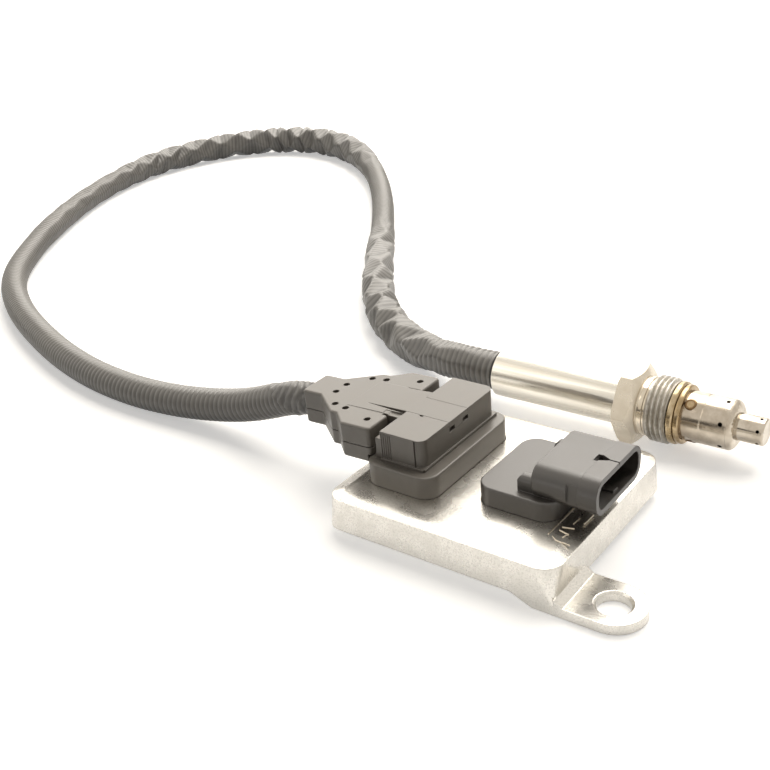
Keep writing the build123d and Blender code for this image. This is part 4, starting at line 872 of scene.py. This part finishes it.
@dataclass
class Probe:
    """Sleeve, gland nut, flange, seal ring and the two protection tubes, in millimetres.

    The thread's crests and roots are flat by twice the half flat. The spot profile gives, for each ring of a
    weld spot, its radius, its height over the tube and how burnt it is.
    """

    pitch: float = 1.5
    crest: float = 10.0
    root: float = 9.1
    half_flat: float = 0.12
    chamfer_radius: float = 9.25
    thread_start: float = 21.2
    thread_end: float = 27.8
    bore: float = 7.8
    neck_start: float = 18.9
    neck_radius: float = 9.06
    neck_overlap: float = 0.3
    undercut_length: float = 0.7
    undercut_depth: float = 0.35
    tube_radius: float = 7.5
    spots: int = 3
    spot_place: float = 33.7
    spot_turn: float = 54.0
    spot_profile: tuple[Place, ...] = (
        (0.6, 0.06, 0.0), (1.0, 0.08, 0.15), (1.2, 0.16, 1.0), (1.45, 0.2, 0.7), (1.65, 0.14, 1.0),
        (1.85, -0.08, 0.9))

    def build(self) -> None:
        """Builds the probe from the sleeve with its rolled rear edge to the tip of the tubes."""
        sleeve = [(-31.8, 7.15, 0.15), (-31.8, 7.75, 0.45), (14.0, 7.75, 0.0), (14.0, 7.15, 0.0)]
        add_piece("drawn_sleeve", lathe(rounded(sleeve), 128), POLISHED_STEEL,
                  replaces=("probe_sleeve",))
        self.gland_nut()
        self.thread()
        softened_node("sensor_body", "sensor_body_turned", TINTED_STEEL, 0.15)
        ring = [(30.0, 7.0, 0.0), (31.8, 7.0, 0.0), (31.8, 9.0, 0.7), (30.0, 9.0, 0.6)]
        add_piece("seal_ring_rounded", lathe(rounded(ring, 5)), TINTED_STEEL,
                  replaces=("seal_ring",))
        softened_node("outer_protection_tube", "outer_tube", DRAWN_STEEL, 0.1)
        softened_node("inner_protection_tube", "inner_tube", DRAWN_STEEL, 0.1)
        self.weld_spots()

    def gland_nut(self) -> None:
        """Takes the loose nut's hexagon from the solid and spins its neck, undercut before the thread."""
        bm = copy_of("gland_nut")
        cut = bmesh.ops.bisect_plane(bm, geom=bm.verts[:] + bm.edges[:] + bm.faces[:],
                                     plane_co=((self.neck_start + self.neck_overlap) * MM, 0, 0),
                                     plane_no=(1, 0, 0), clear_outer=True)
        rim = [edge for edge in cut["geom_cut"] if isinstance(edge, bmesh.types.BMEdge)]
        bmesh.ops.bridge_loops(bm, edges=rim)
        head = add_piece("nut_hexagon", bm, TURNED_STEEL, Body.GLAND_NUT, ("gland_nut",))
        soften(head, 0.25)
        start, reach, end = self.neck_start, self.neck_radius, self.thread_start + 0.05
        cut_start, floor = self.thread_start - self.undercut_length, reach - self.undercut_depth
        neck = rounded([(start, self.bore, 0.0), (start, reach, 0.15), (cut_start - 0.2, reach, 0.15),
                        (cut_start, floor, 0.1), (end, floor, 0.0), (end, self.bore, 0.0)])
        add_piece("nut_neck", lathe(neck), BRIGHT_STEEL, Body.GLAND_NUT)

    def thread(self) -> None:
        """Winds the nut's shank with a helical thread, chamfered at both ends."""
        half, flat = self.pitch / 2, self.half_flat
        turns = math.ceil((self.thread_end - self.thread_start) / self.pitch) + 1
        profile = [(self.thread_start + turn * self.pitch + away, radius)
                   for turn in range(-1, turns)
                   for away, radius in ((0.0, self.root), (flat, self.root), (half - flat, self.crest),
                                        (half + flat, self.crest), (self.pitch - flat, self.root))]
        bm = lathe(profile, lead=self.pitch)
        for limit, side in ((self.thread_start, -1), (self.thread_end, 1)):
            bmesh.ops.bisect_plane(bm, geom=bm.verts[:] + bm.edges[:] + bm.faces[:],
                                   plane_co=(limit * MM, 0, 0), plane_no=(side, 0, 0), clear_outer=True)
        groove = bm.verts.layers.float.new("groove")
        for vertex in bm.verts:
            x = vertex.co.x / MM
            from_end = min(x - self.thread_start, self.thread_end - x)
            reach = math.hypot(vertex.co.y - PROBE_AXIS.y, vertex.co.z - PROBE_AXIS.z) / MM
            radius = min(reach, self.crest, self.chamfer_radius + from_end)
            vertex[groove] = (self.crest - radius) / (self.crest - self.root)
            vertex.co = at_radius(vertex.co, radius)
        for limit in (self.thread_start, self.thread_end):
            loop = [edge for edge in bm.edges if edge.is_boundary
                    and all(abs(vertex.co.x / MM - limit) < 0.01 for vertex in edge.verts)]
            grown = bmesh.ops.extrude_edge_only(bm, edges=loop)["geom"]
            for vertex in (item for item in grown if isinstance(item, bmesh.types.BMVert)):
                vertex.co = at_radius(vertex.co, self.bore)
                vertex[groove] = 1.0
        bmesh.ops.recalc_face_normals(bm, faces=bm.faces)
        add_piece("nut_thread", bm, PASTED_THREAD, Body.GLAND_NUT, crease_deg=25)

    def weld_spots(self) -> None:
        """Lays the spots round the outer tube, each a raised bead round a shallow crater."""
        bm = bmesh.new()
        groove = bm.verts.layers.float.new("groove")
        for spot in range(self.spots):
            middle = math.radians(self.spot_turn + 360 / self.spots * spot)
            loops = []
            for away, height, burnt in self.spot_profile:
                ring = bmesh.ops.create_circle(bm, cap_ends=False, radius=away, segments=24)["verts"]
                for vertex in ring:
                    turn = middle + vertex.co.y / self.tube_radius
                    reach = (self.tube_radius + height) * MM
                    vertex.co = PROBE_AXIS + Vector(((self.spot_place + vertex.co.x) * MM,
                                                     -math.cos(turn) * reach, math.sin(turn) * reach))
                    vertex[groove] = burnt
                loops.append(list({edge for vertex in ring for edge in vertex.link_edges}))
            for inner, outer in zip(loops, loops[1:]):
                bmesh.ops.bridge_loops(bm, edges=inner + outer)
            for rim in (loops[0], loops[-1]):
                bmesh.ops.contextual_create(bm, geom=rim)
        bmesh.ops.recalc_face_normals(bm, faces=bm.faces)
        add_piece("weld_spots", bm, WELDED_STEEL, crease_deg=60)


class Interior:
    """What the housing, plug and probe hold inside."""

    NODES = {
        CAST_ALUMINIUM: ("base_plate",),
        RUBBER: ("base_seal", "harness_header_gasket", "supply_header_gasket", "connector_seal",
                 "sleeve_grommet"),
        BOARD: ("circuit_board",),
        ZINC_STEEL: ("board_screws", "contact_springs"),
        CHIP_RESIN: ("microcontroller", "sensor_driver_chip", "supply_regulator"),
        ALUMINIUM_CAN: ("capacitors",),
        TINNED_BRASS: ("harness_header_pins", "supply_header_pins", "connector_terminals"),
        WIRE_SLEEVE: ("harness_wires", "sensor_wires"),
        CERAMIC: ("sensing_element", "front_bush", "powder_packing", "rear_bush", "contact_carrier"),
    }

    def build(self) -> None:
        """Dresses each inner node through its own material slots."""
        for finish, nodes in self.NODES.items():
            for node in nodes:
                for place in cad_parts[node].material_slots:
                    place.material = finish.material()


def direction(azimuth_deg: float, elevation_deg: float) -> Vector:
    """Gives the unit vector that points there: azimuth 0 is the front, 90 is +X, and elevation is upwards."""
    turn, lift = math.radians(azimuth_deg), math.radians(elevation_deg)
    return Vector((math.sin(turn) * math.cos(lift), -math.cos(turn) * math.cos(lift), math.sin(lift)))


@dataclass(frozen=True)
class Lamp:
    """One soft studio lamp that looks at the object's middle."""

    name: str
    azimuth: float
    elevation: float
    distance: float
    size: float
    watts: float


@dataclass
class Studio:
    """Camera, floor, lamps and the pale surroundings, in metres.

    The floor shows its own colour, lit a little from within, but bounces less light than that, and between
    the two distances of far it fades to pure white. The surroundings light by surround. Seen rays are those
    of the camera and of reflections; the others only light.
    """

    camera_place: Place = (0.136404, -0.213678, 0.167736)
    azimuth: float = 38.751
    elevation: float = 26.436
    roll: float = -5.293
    lens: float = 50.59
    near_clip: float = 0.01
    middle: Place = (-0.1, 0.08, 0.0)
    surround: float = 0.09
    tint: str = "FFFAF2"
    white: str = "FFFFFF"
    floor_half: float = 6.0
    floor_level: float = -0.0002
    floor_colour: str = "F9F8F6"
    floor_bounce: str = "5C5A57"
    floor_glow: float = 0.42
    far: tuple[float, float] = (0.7, 1.4)
    lamps: tuple[Lamp, ...] = (
        Lamp("overhead_softbox", 178.0, 62.0, 1.5, 1.3, 23.5),
        Lamp("back_softbox", 219.0, 28.0, 1.6, 1.7, 15.5),
        Lamp("left_softbox", -55.0, 35.0, 1.5, 1.0, 2.8),
    )

    def build(self) -> None:
        """Builds the whole studio."""
        self.camera()
        self.floor()
        self.world()
        for lamp in self.lamps:
            self.light(lamp)
        bpy.context.scene.view_settings.view_transform = "Standard"

    def camera(self) -> None:
        """Stands the camera where the photograph was taken from."""
        turn, roll = math.radians(self.azimuth), math.radians(self.roll)
        back = direction(self.azimuth, self.elevation)
        right = Vector((math.cos(turn), math.sin(turn), 0))
        up = back.cross(right)
        across = math.cos(roll) * right + math.sin(roll) * up
        upright = -math.sin(roll) * right + math.cos(roll) * up
        data = bpy.data.cameras.new("camera")
        data.lens = self.lens
        data.sensor_width = 36.0
        data.clip_start = self.near_clip
        camera = stand("camera", data)
        turned = Matrix((across, upright, back)).transposed().to_4x4()
        camera.matrix_world = Matrix.Translation(self.camera_place) @ turned
        bpy.context.scene.camera = camera

    def floor(self) -> None:
        """Lays the white floor, which keeps the soft shadows and is white far from the lamps too."""
        bm = bmesh.new()
        bmesh.ops.create_grid(bm, x_segments=1, y_segments=1, size=self.floor_half)
        floor = stand_mesh("floor", bm)
        floor.location.z = self.floor_level
        material = bpy.data.materials.new("white_paper")
        material.use_nodes = True
        tree = material.node_tree
        shader = tree.nodes["Principled BSDF"]
        shader.inputs["Roughness"].default_value = 0.9
        shader.inputs["Specular IOR Level"].default_value = 0.1
        rays, seen = self.seen_rays(tree)
        paper = add_node(tree, "Mix", {0: seen, 6: linear(self.floor_bounce), 7: linear(self.floor_colour)},
                         data_type="RGBA").outputs[2]
        tree.links.new(paper, shader.inputs["Base Color"])
        glow = add_node(tree, "Math", {0: seen, 1: self.floor_glow}, operation="MULTIPLY").outputs[0]
        where = add_node(tree, "TexCoord").outputs["Object"]
        away = add_node(tree, "VectorMath", {0: where}, operation="LENGTH").outputs["Value"]
        start, end = self.far
        fade = add_node(tree, "MapRange", {0: away, 1: start, 2: end}).outputs[0]
        fade = add_node(tree, "Math", {0: fade, 1: rays.outputs["Is Camera Ray"]},
                        operation="MULTIPLY").outputs[0]
        glow = add_node(tree, "Math", {0: glow, 1: fade}, operation="MAXIMUM").outputs[0]
        shader.inputs["Emission Color"].default_value = linear(self.white)
        tree.links.new(glow, shader.inputs["Emission Strength"])
        floor.data.materials.append(material)

    def seen_rays(self, tree: NodeTree) -> tuple[bpy.types.Node, Socket]:
        """Tells seen rays from the others.

        Args:
            tree: The node tree that takes the nodes.

        Returns:
            The node of ray kinds, and 1 for a camera or glossy ray.
        """
        rays = add_node(tree, "LightPath")
        seen = add_node(tree, "Math", {0: rays.outputs["Is Camera Ray"], 1: rays.outputs["Is Glossy Ray"]},
                        operation="MAXIMUM").outputs[0]
        return rays, seen

    def world(self) -> None:
        """Lights softly from all round, but looks bright to camera, glossy and transmission rays."""
        world = bpy.data.worlds.new("studio")
        world.use_nodes = True
        bpy.context.scene.world = world
        tree = world.node_tree
        sky = tree.nodes["Background"]
        rays, seen = self.seen_rays(tree)
        seen = add_node(tree, "Math", {0: seen, 1: rays.outputs["Is Transmission Ray"]},
                        operation="MAXIMUM").outputs[0]
        strength = add_node(tree, "MapRange", {0: seen, 3: self.surround}).outputs[0]
        tree.links.new(strength, sky.inputs["Strength"])
        colour = add_node(tree, "Mix", {0: rays.outputs["Is Camera Ray"], 6: linear(self.tint),
                                        7: linear(self.white)}, data_type="RGBA").outputs[2]
        tree.links.new(colour, sky.inputs["Color"])

    def light(self, lamp: Lamp) -> None:
        """Hangs one lamp.

        Args:
            lamp: Its place, size and power.
        """
        away = direction(lamp.azimuth, lamp.elevation)
        data = bpy.data.lights.new(lamp.name, "AREA")
        data.size = lamp.size
        data.energy = lamp.watts
        data.color = linear(self.tint)[:3]
        holder = stand(lamp.name, data)
        holder.location = Vector(self.middle) + away * lamp.distance
        holder.rotation_euler = away.to_track_quat("Z", "Y").to_euler()


def main() -> None:
    """Builds the studio and the object in order."""
    logging.basicConfig(level=logging.INFO, format="%(name)s: %(message)s")
    Studio().build()
    Lead().build()
    ControlUnit().build()
    HarnessPlug().build()
    Probe().build()
    Interior().build()
    bpy.context.view_layer.update()


if __name__ == "__main__":
    main()
